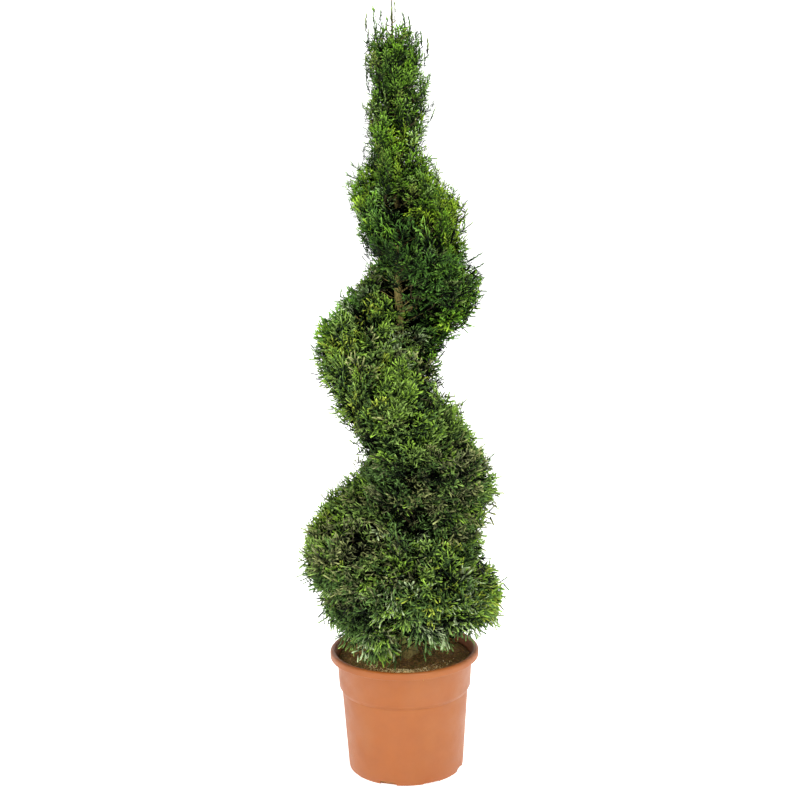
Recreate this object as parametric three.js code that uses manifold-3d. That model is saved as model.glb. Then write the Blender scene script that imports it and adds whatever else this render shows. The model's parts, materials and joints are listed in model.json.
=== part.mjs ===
// A clipped spiral conifer in a nursery pot, in millimetres with +Z up. The origin is on the ground
// under the middle of the pot. Seen from the front (looking along +Y) the spiral climbs from the right
// across the front to the left, then round the back. A "turn" below is counted in half turns of it:
// whole even numbers lie on the right (+X), odd ones on the left, and the halves on the front and back.
import * as THREE from "three";
import { mergeVertices } from "three/addons/utils/BufferGeometryUtils.js";
import Module from "manifold-3d";

const wasm = await Module();
wasm.setup();
const { Manifold } = wasm;

// ---- driving dimensions ----

const SEAT_GAP = 0.3; // between pieces that touch on the real plant

const POT = {
  height: 235,
  lipRadius: 140,
  lipHeight: 14,
  lipInnerRadius: 130,
  collarTopRadius: 127,
  collarFootRadius: 124,
  collarFootHeight: 165,
  stepDrop: 9,
  bodyTopRadius: 118.8,
  baseRadius: 108.5,
  baseRound: 5,
  wall: 3,
  floor: 4,
  segments: 32,
};
const NOTCH = {
  count: 8,
  firstAngle: -19,
  width: 33,
  deepHeight: 8,
  shallowHeight: 3,
  depth: 9,
  beyond: 10, // how far the cut runs out past the wall
};

const SOIL = { edgeHeight: 218.5, shoulderHeight: 221, topHeight: 222, shoulderRadius: 100, flatRadius: 34 };

const TRUNK = {
  foot: SOIL.topHeight + SEAT_GAP,
  tip: 1435,
  footRadius: 17,
  tipRadius: 1.2,
  taper: 1.15,
  flare: 7,
  flareHeight: 22,
  sway: 2.5,
  rings: 16,
  sides: 8,
};

// The clipped crown: for each half turn up the spiral, how high its ridge is and how far it reaches,
// how much of the reach the groove above it cuts away, and how far up to the next ridge that groove is.
const RIDGES = [
  { turn: -1, height: 285, reach: 150, cut: 0.04, groove: 0.5 },
  { turn: 0, height: 325, reach: 201, cut: 0.2, groove: 0.38 },
  { turn: 1, height: 442, reach: 197, cut: 0.62, groove: 0.47 },
  { turn: 2, height: 555, reach: 180, cut: 0.52, groove: 0.57 },
  { turn: 2.5, height: 700, reach: 168, cut: 0.72, groove: 0.75 },
  { turn: 3, height: 828, reach: 161, cut: 0.58, groove: 0.6 },
  { turn: 4, height: 930, reach: 158, cut: 0.1, groove: 0.5 },
  { turn: 4.5, height: 1010, reach: 118, cut: 0.6, groove: 0.62 },
  { turn: 5, height: 1110, reach: 84, cut: 0.4, groove: 0.6 },
  { turn: 6, height: 1055, reach: 127, cut: 0.4, groove: 0.64 },
  { turn: 7, height: 1255, reach: 53, cut: 0.1, groove: 0.5 },
  { turn: 8, height: 1275, reach: 67, cut: 0.1, groove: 0.5 },
  { turn: 9, height: 1345, reach: 53, cut: 0, groove: 0.5 },
  { turn: 10, height: 1350, reach: 50, cut: 0, groove: 0.5 },
];
const CROWN = {
  foot: 234,
  top: 1396,
  footRound: 62,
  topRound: 45,
  footReach: 0.55,
  topReach: 0.6,
  risePerTurnBelow: 80,
  risePerTurnAbove: 60,
  firstTurn: -0.75, // where the lowest mass starts
  firstGrooveTurn: 1.25, // masses that start below this turn run down to the crown's foot
  lastGrooveTurn: 8.25, // masses that end above it run up to the crown's top
  headroom: 30, // above the clipped top, that the highest tips may use
};

// A mass's core: a thick curved shell, set back from the clipped outline by the length that sprays show.
const CORE = {
  setback: 12,
  setbackShare: 0.14,
  shellShare: 0.4,
  trunkClearance: 6,
  leastThickness: 7,
  grooveGap: 4,
  topSetback: 22,
  searchStep: 2,
  slicesPerTurn: 8,
  pointsUp: 6,
  lumps: 5,
};

const BOUGH = {
  sides: 5,
  steps: 4,
  radiusShare: 0.034, // of the reach of the ridge that it carries
  leastRadius: 2.6,
  tipShare: 0.7,
  slope: 0.5,
  lowest: 246, // height where the lowest ones leave the trunk
  endRoom: 5, // between a bough's end and the core
};
const STEM = { sides: 4, steps: 2, tipRadius: 1.6, reach: 0.62 };
const TWIG = {
  sides: 3,
  radius: 2.2,
  tipRadius: 1.5,
  proud: 13, // how far it stands out of the core
  seat: 6, // how deep the spray at its end is sunk in it
  area: 13700, // of the crown's face to each twig, in square millimetres
  least: 2,
  margin: 4,
  limbClearance: 7,
};
const SPRAY = {
  length: 78,
  shortest: 24,
  width: 0.86,
  thickness: 2.6,
  sunk: 9,
  bend: 0.1,
  roll: 1.5,
  lift: 0.9,
  liftAtTop: 0.7,
  roundFoot: 3,
  sideSpread: 0.7,
  sideOffset: 20,
  tries: 8,
  margin: 1.5,
  overshoot: 3,
};
// A spray's outline: three lobes of a flat fan, in shares of its length and width from its root.
const SPRAY_OUTLINE = [
  [0, 0],
  [0.64, 0.5],
  [0.62, 0.2],
  [1, 0],
  [0.62, -0.2],
  [0.64, -0.5],
];
const SPRAY_CENTRE = 0.3;

// Wisps that stand up out of the top, round the trunk's own tip.
const WISPS = {
  count: 16,
  root: 1340,
  within: 10,
  spread: 46,
  lowest: 1396,
  highest: 1422,
  lean: 0.22,
  width: 0.42,
  firstAngle: 166,
};
const SUNFLOWER_ANGLE = Math.PI * (3 - Math.sqrt(5));

const COLOURS = {
  pot: { color: 0xc77f55, roughness: 0.62 },
  soil: { color: 0x5a4a33, roughness: 1 },
  bark: { color: 0x6d5240, roughness: 0.9 },
  foliage: { color: 0x4f6f2a, roughness: 0.75 },
  foliageTop: { color: 0x6c8c34, roughness: 0.72 },
};

// ---- small tools ----

const TAU = Math.PI * 2;
const UP = new THREE.Vector3(0, 0, 1);
const degrees = THREE.MathUtils.degToRad;
const clamp = THREE.MathUtils.clamp;
const wrap = (value, span) => ((value % span) + span) % span;

function polar(angle, radius, z) {
  return new THREE.Vector3(radius * Math.cos(angle), radius * Math.sin(angle), z);
}

// A repeatable stream of numbers from 0 to 1.
function seeded(seed) {
  let state = seed >>> 0;
  return () => {
    state = (state + 0x6d2b79f5) >>> 0;
    let mixed = Math.imul(state ^ (state >>> 15), 1 | state);
    mixed = (mixed + Math.imul(mixed ^ (mixed >>> 7), 61 | mixed)) ^ mixed;
    return ((mixed ^ (mixed >>> 14)) >>> 0) / 4294967296;
  };
}

function makeSolid(points, triangles) {
  const vertProperties = new Float32Array(points.flatMap((point) => point.toArray()));
  const triVerts = new Uint32Array(triangles.flat());
  return new Manifold(new wasm.Mesh({ numProp: 3, vertProperties, triVerts }));
}

function solidFromGeometry(geometry) {
  const bare = geometry.clone();
  bare.deleteAttribute("normal");
  bare.deleteAttribute("uv");
  const merged = mergeVertices(bare, 1e-3);
  const position = merged.getAttribute("position");
  const index = merged.index.array;
  const points = [];
  for (let i = 0; i < position.count; i++) {
    points.push(new THREE.Vector3().fromBufferAttribute(position, i));
  }
  const triangles = [];
  for (let i = 0; i < index.length; i += 3) {
    const [a, b, c] = [index[i], index[i + 1], index[i + 2]];
    if (a !== b && b !== c && c !== a) triangles.push([a, b, c]);
  }
  return makeSolid(points, triangles);
}

// The largest body of a solid: loose scraps are dropped and sealed hollows are filled.
function mainBody(solid) {
  return solid.decompose().reduce((best, body) => (body.volume() > best.volume() ? body : best));
}

function meshFromSolid(name, solid, look) {
  const { numProp, numVert, vertProperties, triVerts } = solid.getMesh();
  const positions = new Float32Array(numVert * 3);
  for (let i = 0; i < numVert; i++) {
    positions.set(vertProperties.subarray(i * numProp, i * numProp + 3), i * 3);
  }
  const geometry = new THREE.BufferGeometry();
  geometry.setAttribute("position", new THREE.BufferAttribute(positions, 3));
  geometry.setIndex(new THREE.BufferAttribute(triVerts, 1));
  const material = new THREE.MeshStandardMaterial({ ...look, metalness: 0, flatShading: true });
  const mesh = new THREE.Mesh(geometry, material);
  mesh.name = name;
  return mesh;
}

// A closed turned solid about +Z from a profile of [radius, height] pairs that starts and ends on the axis.
function turned(profile, segments) {
  const geometry = new THREE.LatheGeometry(
    profile.map(([radius, height]) => new THREE.Vector2(radius, height)),
    segments,
  );
  return solidFromGeometry(geometry.rotateX(Math.PI / 2));
}

// A limb of round section along a curve between two shares of its length, tapering from one radius to
// another. Its ends are square to the curve.
function limb(curve, from, to, radiusAt, sides, steps) {
  const reference = Math.abs(curve.getTangentAt(0.5).z) > 0.8 ? new THREE.Vector3(1, 0, 0) : UP;
  const points = [];
  const triangles = [];
  for (let i = 0; i <= steps; i++) {
    const along = from + ((to - from) * i) / steps;
    const centre = curve.getPointAt(along);
    const tangent = curve.getTangentAt(along);
    const across = new THREE.Vector3().crossVectors(tangent, reference).normalize();
    const over = new THREE.Vector3().crossVectors(across, tangent);
    for (let j = 0; j < sides; j++) {
      const turn = (TAU * j) / sides;
      const radius = radiusAt(i / steps, turn);
      points.push(
        centre
          .clone()
          .addScaledVector(across, radius * Math.cos(turn))
          .addScaledVector(over, radius * Math.sin(turn)),
      );
    }
  }
  for (let i = 0; i < steps; i++) {
    for (let j = 0; j < sides; j++) {
      const a = i * sides + j;
      const b = i * sides + ((j + 1) % sides);
      triangles.push([a, a + sides, b], [b, a + sides, b + sides]);
    }
  }
  const last = steps * sides;
  for (let j = 1; j < sides - 1; j++) {
    triangles.push([0, j, j + 1], [last, last + j + 1, last + j]);
  }
  return makeSolid(points, triangles);
}

const jitterVector = (random) => new THREE.Vector3(random() - 0.5, random() - 0.5, random() - 0.5);

// ---- pot and soil ----

// The pot's outer wall as [radius, height], from its base up to the underside of the lip.
function potWall() {
  const stepFoot = POT.collarFootHeight - POT.stepDrop;
  return [
    [POT.baseRadius, POT.baseRound],
    [POT.bodyTopRadius, stepFoot],
    [POT.collarFootRadius, POT.collarFootHeight],
    [POT.collarTopRadius, POT.height - POT.lipHeight],
  ];
}

function makePot() {
  const lipFoot = POT.height - POT.lipHeight;
  const { lipRadius, lipInnerRadius, height } = POT;
  const outside = [
    [0, 0],
    [POT.baseRadius - POT.baseRound, 0],
    [POT.baseRadius - POT.baseRound * 0.3, POT.baseRound * 0.3],
    ...potWall(),
  ];
  const lip = [
    [lipRadius - 2.5, lipFoot + 0.5],
    [lipRadius, lipFoot + 3.5],
    [lipRadius, height - 4],
    [lipRadius - 3, height],
    [lipInnerRadius + 2, height],
    [lipInnerRadius - 1, height - 3],
  ];
  const inside = potWall()
    .reverse()
    .map(([radius, z]) => [radius - POT.wall, Math.max(z, POT.floor)]);
  const body = turned([...outside, ...lip, ...inside, [0, POT.floor]], POT.segments);
  return notches().reduce((pot, notch) => pot.subtract(notch), body);
}

// The drain notches round the foot of the pot, every other one deep.
function notches() {
  const cutters = [];
  for (let i = 0; i < NOTCH.count; i++) {
    const rise = i % 2 ? NOTCH.shallowHeight : NOTCH.deepHeight;
    const half = NOTCH.width / 2;
    const outline = new THREE.Shape();
    outline.moveTo(-half, -1);
    outline.lineTo(half, -1);
    outline.lineTo(half, rise * 0.55);
    outline.lineTo(half - rise * 0.45, rise);
    outline.lineTo(-half + rise * 0.45, rise);
    outline.lineTo(-half, rise * 0.55);
    const length = NOTCH.depth + NOTCH.beyond;
    const geometry = new THREE.ExtrudeGeometry(outline, { depth: length, bevelEnabled: false, steps: 1 });
    geometry.rotateX(Math.PI / 2);
    geometry.translate(0, -(POT.baseRadius - NOTCH.depth), 0);
    geometry.rotateZ(Math.PI / 2 + degrees(NOTCH.firstAngle) + (TAU * i) / NOTCH.count);
    cutters.push(solidFromGeometry(geometry));
  }
  return cutters;
}

function makeSoil() {
  const sides = potWall().map(([radius, z]) => [
    radius - POT.wall - SEAT_GAP,
    Math.max(Math.min(z, SOIL.edgeHeight), POT.floor + SEAT_GAP),
  ]);
  const top = [
    [SOIL.shoulderRadius, SOIL.shoulderHeight],
    [SOIL.flatRadius, SOIL.topHeight],
    [0, SOIL.topHeight],
  ];
  return turned([[0, POT.floor + SEAT_GAP], ...sides, ...top], POT.segments);
}

// ---- trunk ----

function trunkRadius(z) {
  const left = clamp((TRUNK.tip - z) / (TRUNK.tip - TRUNK.foot), 0, 1);
  const shaft = TRUNK.tipRadius + (TRUNK.footRadius - TRUNK.tipRadius) * left ** TRUNK.taper;
  return shaft + TRUNK.flare * Math.exp(-Math.max(z - TRUNK.foot, 0) / TRUNK.flareHeight);
}

function trunkCentre(z) {
  const up = (z - TRUNK.foot) / 240;
  return new THREE.Vector3(TRUNK.sway * Math.sin(up), TRUNK.sway * (Math.cos(up * 1.3) - 1), z);
}

// The trunk's outline grown by a clearance; its foot carries four low roots.
function makeTrunk(clearance = 0) {
  const levels = [TRUNK.foot, TRUNK.foot + 9, TRUNK.foot + 24];
  for (let i = 0; i <= TRUNK.rings; i++) {
    levels.push(TRUNK.foot + 55 + ((TRUNK.tip - TRUNK.foot - 55) * i) / TRUNK.rings);
  }
  levels[0] -= clearance;
  levels[levels.length - 1] += clearance;
  const points = [];
  const triangles = [];
  const { sides } = TRUNK;
  levels.forEach((z, i) => {
    const centre = trunkCentre(z);
    const rootiness = 0.2 * Math.exp(-Math.max(z - TRUNK.foot, 0) / TRUNK.flareHeight);
    for (let j = 0; j < sides; j++) {
      const turn = (TAU * j) / sides;
      const radius = trunkRadius(z) * (1 + rootiness * Math.cos(4 * turn + 1)) + clearance;
      points.push(polar(turn, radius, 0).add(centre));
      if (i === 0) continue;
      const a = (i - 1) * sides + j;
      const b = (i - 1) * sides + ((j + 1) % sides);
      triangles.push([a, b, a + sides], [b, b + sides, a + sides]);
    }
  });
  const last = (levels.length - 1) * sides;
  for (let j = 1; j < sides - 1; j++) {
    triangles.push([0, j + 1, j], [last, last + j, last + j + 1]);
  }
  return makeSolid(points, triangles);
}

// ---- the clipped outline of the crown ----

function ridgeValue(turn, key) {
  const first = RIDGES[0];
  const last = RIDGES[RIDGES.length - 1];
  if (turn <= first.turn) return first[key];
  if (turn >= last.turn) return last[key];
  const upper = RIDGES.findIndex((row) => row.turn >= turn);
  const [a, b] = [RIDGES[upper - 1], RIDGES[upper]];
  return THREE.MathUtils.lerp(a[key], b[key], (turn - a.turn) / (b.turn - a.turn));
}

function ridgeHeight(turn) {
  const below = Math.min(turn - RIDGES[0].turn, 0) * CROWN.risePerTurnBelow;
  const above = Math.max(turn - RIDGES[RIDGES.length - 1].turn, 0) * CROWN.risePerTurnAbove;
  return ridgeValue(turn, "height") + below + above;
}

function grooveHeight(turn) {
  return THREE.MathUtils.lerp(ridgeHeight(turn), ridgeHeight(turn + 2), ridgeValue(turn, "groove"));
}

// How far the clipped outline is from the axis, at an angle about +Z and a height.
function crownRadius(angle, z) {
  let turn = wrap(-angle / Math.PI, 2) - 4;
  while (z >= ridgeHeight(turn + 2)) turn += 2;
  const up = (z - ridgeHeight(turn)) / (ridgeHeight(turn + 2) - ridgeHeight(turn));
  const groove = ridgeValue(turn, "groove");
  const lower = ridgeValue(turn, "reach");
  const upper = ridgeValue(turn + 2, "reach");
  const grooveReach = (1 - ridgeValue(turn, "cut")) * THREE.MathUtils.lerp(lower, upper, groove);
  const radius =
    up < groove
      ? lower + ((grooveReach - lower) * (1 - Math.cos((Math.PI * up) / groove))) / 2
      : upper + ((grooveReach - upper) * (1 + Math.cos((Math.PI * (up - groove)) / (1 - groove)))) / 2;
  const rounded = (share, least) => least + (1 - least) * Math.sqrt(1 - (1 - clamp(share, 0, 1)) ** 2);
  const foot = rounded((z - CROWN.foot) / CROWN.footRound, CROWN.footReach);
  const top = rounded((CROWN.top - z) / CROWN.topRound, CROWN.topReach);
  return radius * foot * top;
}

const angleOfTurn = (turn) => -turn * Math.PI;
const coreShare = (turn) => 1 - CORE.setbackShare - CORE.setback / ridgeValue(turn, "reach");
const trunkSpace = (z) => trunkRadius(z) + TRUNK.sway + CORE.trunkClearance;

// ---- the masses of foliage ----

const atFoot = (mass) => mass.from < CROWN.firstGrooveTurn;
const atTop = (mass) => mass.to > CROWN.lastGrooveTurn;
const lowerLimit = (mass, turn) => (atFoot(mass) ? CROWN.foot : grooveHeight(turn - 2));
const upperLimit = (mass, turn) => (atTop(mass) ? CROWN.top + CROWN.headroom : grooveHeight(turn));

// Quarter turns of the spiral from its foot up, then half turns where it is slim.
function listMasses() {
  const quarters = ["back", "right", "front", "left"];
  const halves = ["4_front_left", "5_back_right", "top_front_left", "top_back_right"];
  const masses = [];
  for (let i = 0; i < 14; i++) {
    const from = CROWN.firstTurn + i / 2;
    const name = `${Math.floor(i / 4) + 1}_${quarters[i % 4]}`;
    masses.push({ name, from, to: from + 0.5, hasBough: true });
  }
  for (const name of halves) {
    const from = masses[masses.length - 1].to;
    masses.push({ name, from, to: from + 1, hasBough: false });
  }
  masses.forEach((mass, i) => (mass.seed = 101 + 37 * i));
  return masses;
}

// The span of heights, at one turn of a mass, where the core is thick enough to keep.
function coreSpan(mass, turn) {
  const heights = [];
  const end = Math.min(upperLimit(mass, turn), CROWN.top - CORE.topSetback) - CORE.grooveGap;
  for (let z = lowerLimit(mass, turn) + CORE.grooveGap; z < end; z += CORE.searchStep) {
    const core = crownRadius(angleOfTurn(turn), z) * coreShare(turn);
    if (core > trunkSpace(z) + CORE.leastThickness) heights.push(z);
  }
  return [heights[0], heights[heights.length - 1]];
}

const coreOuter = (turn, z) =>
  Math.max(crownRadius(angleOfTurn(turn), z) * coreShare(turn), trunkSpace(z) + CORE.leastThickness);
const coreInner = (turn, z) =>
  Math.max(coreOuter(turn, z) - CORE.shellShare * ridgeValue(turn, "reach"), trunkSpace(z));

function makeCore(mass, random) {
  const slices = Math.max(3, Math.round((mass.to - mass.from) * CORE.slicesPerTurn));
  const rows = CORE.pointsUp;
  const points = [];
  for (let i = 0; i <= slices; i++) {
    const turn = mass.from + ((mass.to - mass.from) * i) / slices;
    const [low, high] = coreSpan(mass, turn);
    const angle = angleOfTurn(turn);
    // The two end faces are flat and stand back from the neighbouring mass.
    const inward = i === 0 ? -1 : i === slices ? 1 : 0;
    const aside = polar(angle + Math.PI / 2, SEAT_GAP * inward, 0);
    for (let j = 0; j < rows; j++) {
      const z = low + ((high - low) * j) / (rows - 1);
      const inner = coreInner(turn, z);
      const lump = (random() - 0.5) * 2 * CORE.lumps;
      const outer = Math.max(coreOuter(turn, z) + lump, inner + CORE.leastThickness);
      points.push(polar(angle, outer, z).add(aside), polar(angle, inner, z).add(aside));
    }
  }
  const at = (slice, row, inner) => (slice * rows + row) * 2 + inner;
  const triangles = [];
  const quad = (a, b, c, d) => triangles.push([a, b, c], [a, c, d]);
  for (let i = 0; i < slices; i++) {
    for (let j = 0; j < rows - 1; j++) {
      quad(at(i, j, 0), at(i, j + 1, 0), at(i + 1, j + 1, 0), at(i + 1, j, 0));
      quad(at(i, j, 1), at(i + 1, j, 1), at(i + 1, j + 1, 1), at(i, j + 1, 1));
    }
    quad(at(i, 0, 0), at(i + 1, 0, 0), at(i + 1, 0, 1), at(i, 0, 1));
    quad(at(i, rows - 1, 0), at(i, rows - 1, 1), at(i + 1, rows - 1, 1), at(i + 1, rows - 1, 0));
  }
  for (let j = 0; j < rows - 1; j++) {
    quad(at(0, j, 0), at(0, j, 1), at(0, j + 1, 1), at(0, j + 1, 0));
    quad(at(slices, j, 0), at(slices, j + 1, 0), at(slices, j + 1, 1), at(slices, j, 1));
  }
  return makeSolid(points, triangles);
}

// The limb that carries a mass: it leaves the trunk rising, and ends inside the core.
function carryingPath(mass) {
  const turn = (mass.from + mass.to) / 2;
  const angle = angleOfTurn(turn);
  const [low, high] = coreSpan(mass, turn);
  const top = clamp(ridgeHeight(turn), low + 12, high - 12);
  const inner = coreInner(turn, top);
  const end = inner + (coreOuter(turn, top) - inner) * STEM.reach;
  const start = Math.max(top - end * BOUGH.slope, BOUGH.lowest);
  const curve = new THREE.QuadraticBezierCurve3(
    trunkCentre(start),
    polar(angle, end * 0.62, start + (top - start) * 0.42),
    polar(angle, end, top),
  );
  const length = curve.getLength();
  const seat = 1 - (end - inner + BOUGH.endRoom) / length;
  const stemFrom = seat + SEAT_GAP / length;
  const radius = Math.max(BOUGH.leastRadius, BOUGH.radiusShare * ridgeValue(turn, "reach"));
  return { curve, seat, stemFrom, radius };
}

function boughRadius(path, along, clearance = 0) {
  return path.radius * THREE.MathUtils.lerp(1, BOUGH.tipShare, along) + clearance;
}

function makeBough(path, trunkSkin) {
  const whole = limb(path.curve, 0, path.seat, (along) => boughRadius(path, along), BOUGH.sides, BOUGH.steps);
  return mainBody(whole.subtract(trunkSkin));
}

function makeStem(mass, path) {
  const from = mass.hasBough ? path.stemFrom : 0;
  const thick = mass.hasBough ? boughRadius(path, 1) : path.radius;
  const taper = (along) => THREE.MathUtils.lerp(thick, STEM.tipRadius, along);
  return limb(path.curve, from, 1, taper, STEM.sides, STEM.steps);
}

// Whether a point is in a mass's own space, by a margin: between its neighbours, and off the trunk, the
// pot and the soil.
function inSpace(mass, point, margin) {
  const radius = Math.hypot(point.x, point.y);
  const turn = mass.from + wrap(-Math.atan2(point.y, point.x) / Math.PI - mass.from, 2);
  const arc = Math.PI * radius;
  if ((turn - mass.from) * arc < margin || (mass.to - turn) * arc < margin) return false;
  const ground = radius > POT.lipInnerRadius - 8 ? POT.height : SOIL.topHeight;
  const foot = Math.max(ground, atFoot(mass) ? 0 : lowerLimit(mass, turn)) + margin;
  const head = upperLimit(mass, turn) - margin;
  return point.z > foot && point.z < head && radius > trunkRadius(point.z) + TRUNK.sway + margin;
}

// The direction straight out of the clipped outline, from its slopes round and up the crown.
function outwardAt(turn, z) {
  const angle = angleOfTurn(turn);
  const step = 6;
  const turnStep = step / Math.max(crownRadius(angle, z), 20);
  const slopeRound = crownRadius(angle + turnStep, z) - crownRadius(angle - turnStep, z);
  const slopeUp = crownRadius(angle, z + step) - crownRadius(angle, z - step);
  return polar(angle, 1, 0)
    .addScaledVector(polar(angle + Math.PI / 2, 1, 0), -clamp(slopeRound / (2 * step), -1, 1))
    .addScaledVector(UP, -clamp(slopeUp / (2 * step), -1.2, 1.2))
    .normalize();
}

// A flat toothed fan: a two-sided pyramid over its outline, curled a little at the tips.
function spray(root, along, across, length) {
  const facing = new THREE.Vector3().crossVectors(along, across);
  const place = (u, v, lift) =>
    root
      .clone()
      .addScaledVector(along, u * length)
      .addScaledVector(across, v * length * SPRAY.width)
      .addScaledVector(facing, lift + SPRAY.bend * length * u * u);
  const points = SPRAY_OUTLINE.map(([u, v]) => place(u, v, 0));
  const centre = SPRAY_CENTRE;
  points.push(place(centre, 0, SPRAY.thickness / 2), place(centre, 0, -SPRAY.thickness / 2));
  const count = SPRAY_OUTLINE.length;
  const triangles = SPRAY_OUTLINE.flatMap((_, i) => {
    const next = (i + 1) % count;
    return [
      [count, next, i],
      [count + 1, i, next],
    ];
  });
  return { points, solid: () => makeSolid(points, triangles) };
}

// The width direction of a spray: square to it, near level, and turned a little at random.
function widthDirection(along, random) {
  const level = new THREE.Vector3(-along.y, along.x, 0).normalize();
  const guess = level.addScaledVector(jitterVector(random), SPRAY.roll);
  return guess.addScaledVector(along, -guess.dot(along)).normalize();
}

// Whether a spray keeps clear of its mass's limits, also halfway along its edges.
function staysInSpace(mass, { points }) {
  const edges = points.map((point, i) => point.clone().lerp(points[(i + 1) % points.length], 0.5));
  return [...points, ...edges].every((point) => inSpace(mass, point, SPRAY.margin));
}

// The longest spray from a root that stays under the outline and in the mass's space, or none.
function fittedSpray(mass, root, along, across, wanted) {
  for (let length = wanted; length >= SPRAY.shortest; length -= 3) {
    const tip = root.clone().addScaledVector(along, length);
    const outline = crownRadius(Math.atan2(tip.y, tip.x), tip.z) + SPRAY.overshoot;
    if (Math.hypot(tip.x, tip.y) > outline) continue;
    const made = spray(root, along, across, length);
    if (staysInSpace(mass, made)) return made.solid();
  }
  return null;
}

// The first of a few seeded tries at a spray from a root, near an aim, that fits the mass's space.
function trySpray(mass, root, aim, spread, wanted, random) {
  for (let i = 0; i < SPRAY.tries; i++) {
    const along = aim.clone().addScaledVector(jitterVector(random), spread).normalize();
    const length = wanted * (0.85 + 0.3 * random());
    const made = fittedSpray(mass, root, along, widthDirection(along, random), length);
    if (made) return made;
  }
  return null;
}

// Whether a straight twig would come too close to the limb that carries the mass.
function nearLimb(path, from, to) {
  const line = new THREE.Line3(from, to);
  const nearest = new THREE.Vector3();
  return path.curve
    .getSpacedPoints(12)
    .filter((_, i) => i / 12 < path.seat)
    .some((point) => line.closestPointToPoint(point, true, nearest).distanceTo(point) < TWIG.limbClearance);
}

// Twigs branch from the stem and run out through the core; each carries a spray at its end and more
// round its foot.
function growTwigs(mass, path, random) {
  const pieces = [];
  const middle = (mass.from + mass.to) / 2;
  const [low, high] = coreSpan(mass, middle);
  const area = (mass.to - mass.from) * Math.PI * ridgeValue(middle, "reach") * (high - low + 40);
  const count = Math.round(area / TWIG.area) + TWIG.least;
  for (let i = 0; i < count; i++) {
    const turn = THREE.MathUtils.lerp(mass.from, mass.to, 0.05 + 0.9 * ((0.5 + i * 0.7549) % 1));
    const [foot, head] = coreSpan(mass, turn);
    const z = THREE.MathUtils.lerp(foot, head, 0.02 + 0.96 * ((0.5 + i * 0.5698) % 1));
    const surface = polar(angleOfTurn(turn), coreOuter(turn, z), z);
    const lift = SPRAY.lift + SPRAY.liftAtTop * clamp((z - 950) / 400, 0, 1);
    const along = outwardAt(turn, z).addScaledVector(UP, lift).normalize();
    const fork = path.curve.getPointAt(THREE.MathUtils.lerp(path.seat, 1, 0.35 + 0.6 * random()));
    const end = surface.clone().addScaledVector(along, TWIG.proud);
    if (inSpace(mass, end, TWIG.margin) && !nearLimb(path, fork, surface)) {
      const taper = (share) => THREE.MathUtils.lerp(TWIG.radius, TWIG.tipRadius, share);
      pieces.push(limb(new THREE.LineCurve3(fork, end), 0, 1, taper, TWIG.sides, 1));
      const root = end.clone().addScaledVector(along, -TWIG.seat);
      pieces.push(trySpray(mass, root, along, 0.3, SPRAY.length, random));
    }
    const across = widthDirection(along, random);
    for (let j = 0; j < SPRAY.roundFoot; j++) {
      const aside = across.clone().applyAxisAngle(along, (TAU * j) / SPRAY.roundFoot);
      const root = surface.clone().addScaledVector(along, -SPRAY.sunk);
      root.addScaledVector(aside, SPRAY.sideOffset);
      const aim = along.clone().addScaledVector(aside, SPRAY.sideSpread).normalize();
      pieces.push(trySpray(mass, root, aim, 0.8, SPRAY.length, random));
    }
  }
  return pieces.filter(Boolean);
}

// Slim upright shoots out of the top masses, placed on a sunflower spiral.
function growWisps(mass) {
  const shoots = [];
  for (let i = 0; i < WISPS.count; i++) {
    const share = i / WISPS.count;
    const angle = degrees(WISPS.firstAngle) + i * SUNFLOWER_ANGLE;
    const radius = THREE.MathUtils.lerp(WISPS.within, WISPS.spread, Math.sqrt(share));
    const top = THREE.MathUtils.lerp(WISPS.highest, WISPS.lowest, share);
    const root = polar(angle, radius, WISPS.root);
    const end = polar(angle, radius * (1 + WISPS.lean), top);
    const along = end.clone().sub(root).normalize();
    const across = polar(angle + Math.PI / 3, 1, 0);
    across.addScaledVector(along, -across.dot(along)).normalize().multiplyScalar(WISPS.width);
    const blade = spray(root, along, across, end.distanceTo(root));
    if (staysInSpace(mass, blade)) shoots.push(blade.solid());
  }
  return shoots;
}

function makeMass(mass, path, trunkSkin) {
  const random = seeded(mass.seed);
  const grown = [makeCore(mass, random), ...growTwigs(mass, path, random)];
  if (atTop(mass)) grown.push(...growWisps(mass));
  const joined = Manifold.union(grown);
  if (!mass.hasBough) return mainBody(joined.add(makeStem(mass, path)).subtract(trunkSkin));
  const room = (along) => boughRadius(path, along, SEAT_GAP * 2);
  const channel = limb(path.curve, 0, path.stemFrom, room, BOUGH.sides, BOUGH.steps);
  return mainBody(joined.subtract(channel).add(makeStem(mass, path)));
}

// ---- the assembly ----

const topiary = new THREE.Group();
topiary.name = "spiral_topiary";
topiary.add(meshFromSolid("pot", makePot(), COLOURS.pot));
topiary.add(meshFromSolid("soil", makeSoil(), COLOURS.soil));
topiary.add(meshFromSolid("trunk", makeTrunk(), COLOURS.bark));

const trunkSkin = makeTrunk(SEAT_GAP);
for (const mass of listMasses()) {
  const path = carryingPath(mass);
  const look = mass.to > 5 ? COLOURS.foliageTop : COLOURS.foliage;
  if (mass.hasBough) {
    topiary.add(meshFromSolid(`bough_${mass.name}`, makeBough(path, trunkSkin), COLOURS.bark));
  }
  topiary.add(meshFromSolid(`foliage_${mass.name}`, makeMass(mass, path, trunkSkin), look));
}

export default topiary;
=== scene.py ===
import json
import math
from collections import namedtuple

import bpy
import numpy as np
from mathutils import Matrix, Vector, noise

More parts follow.
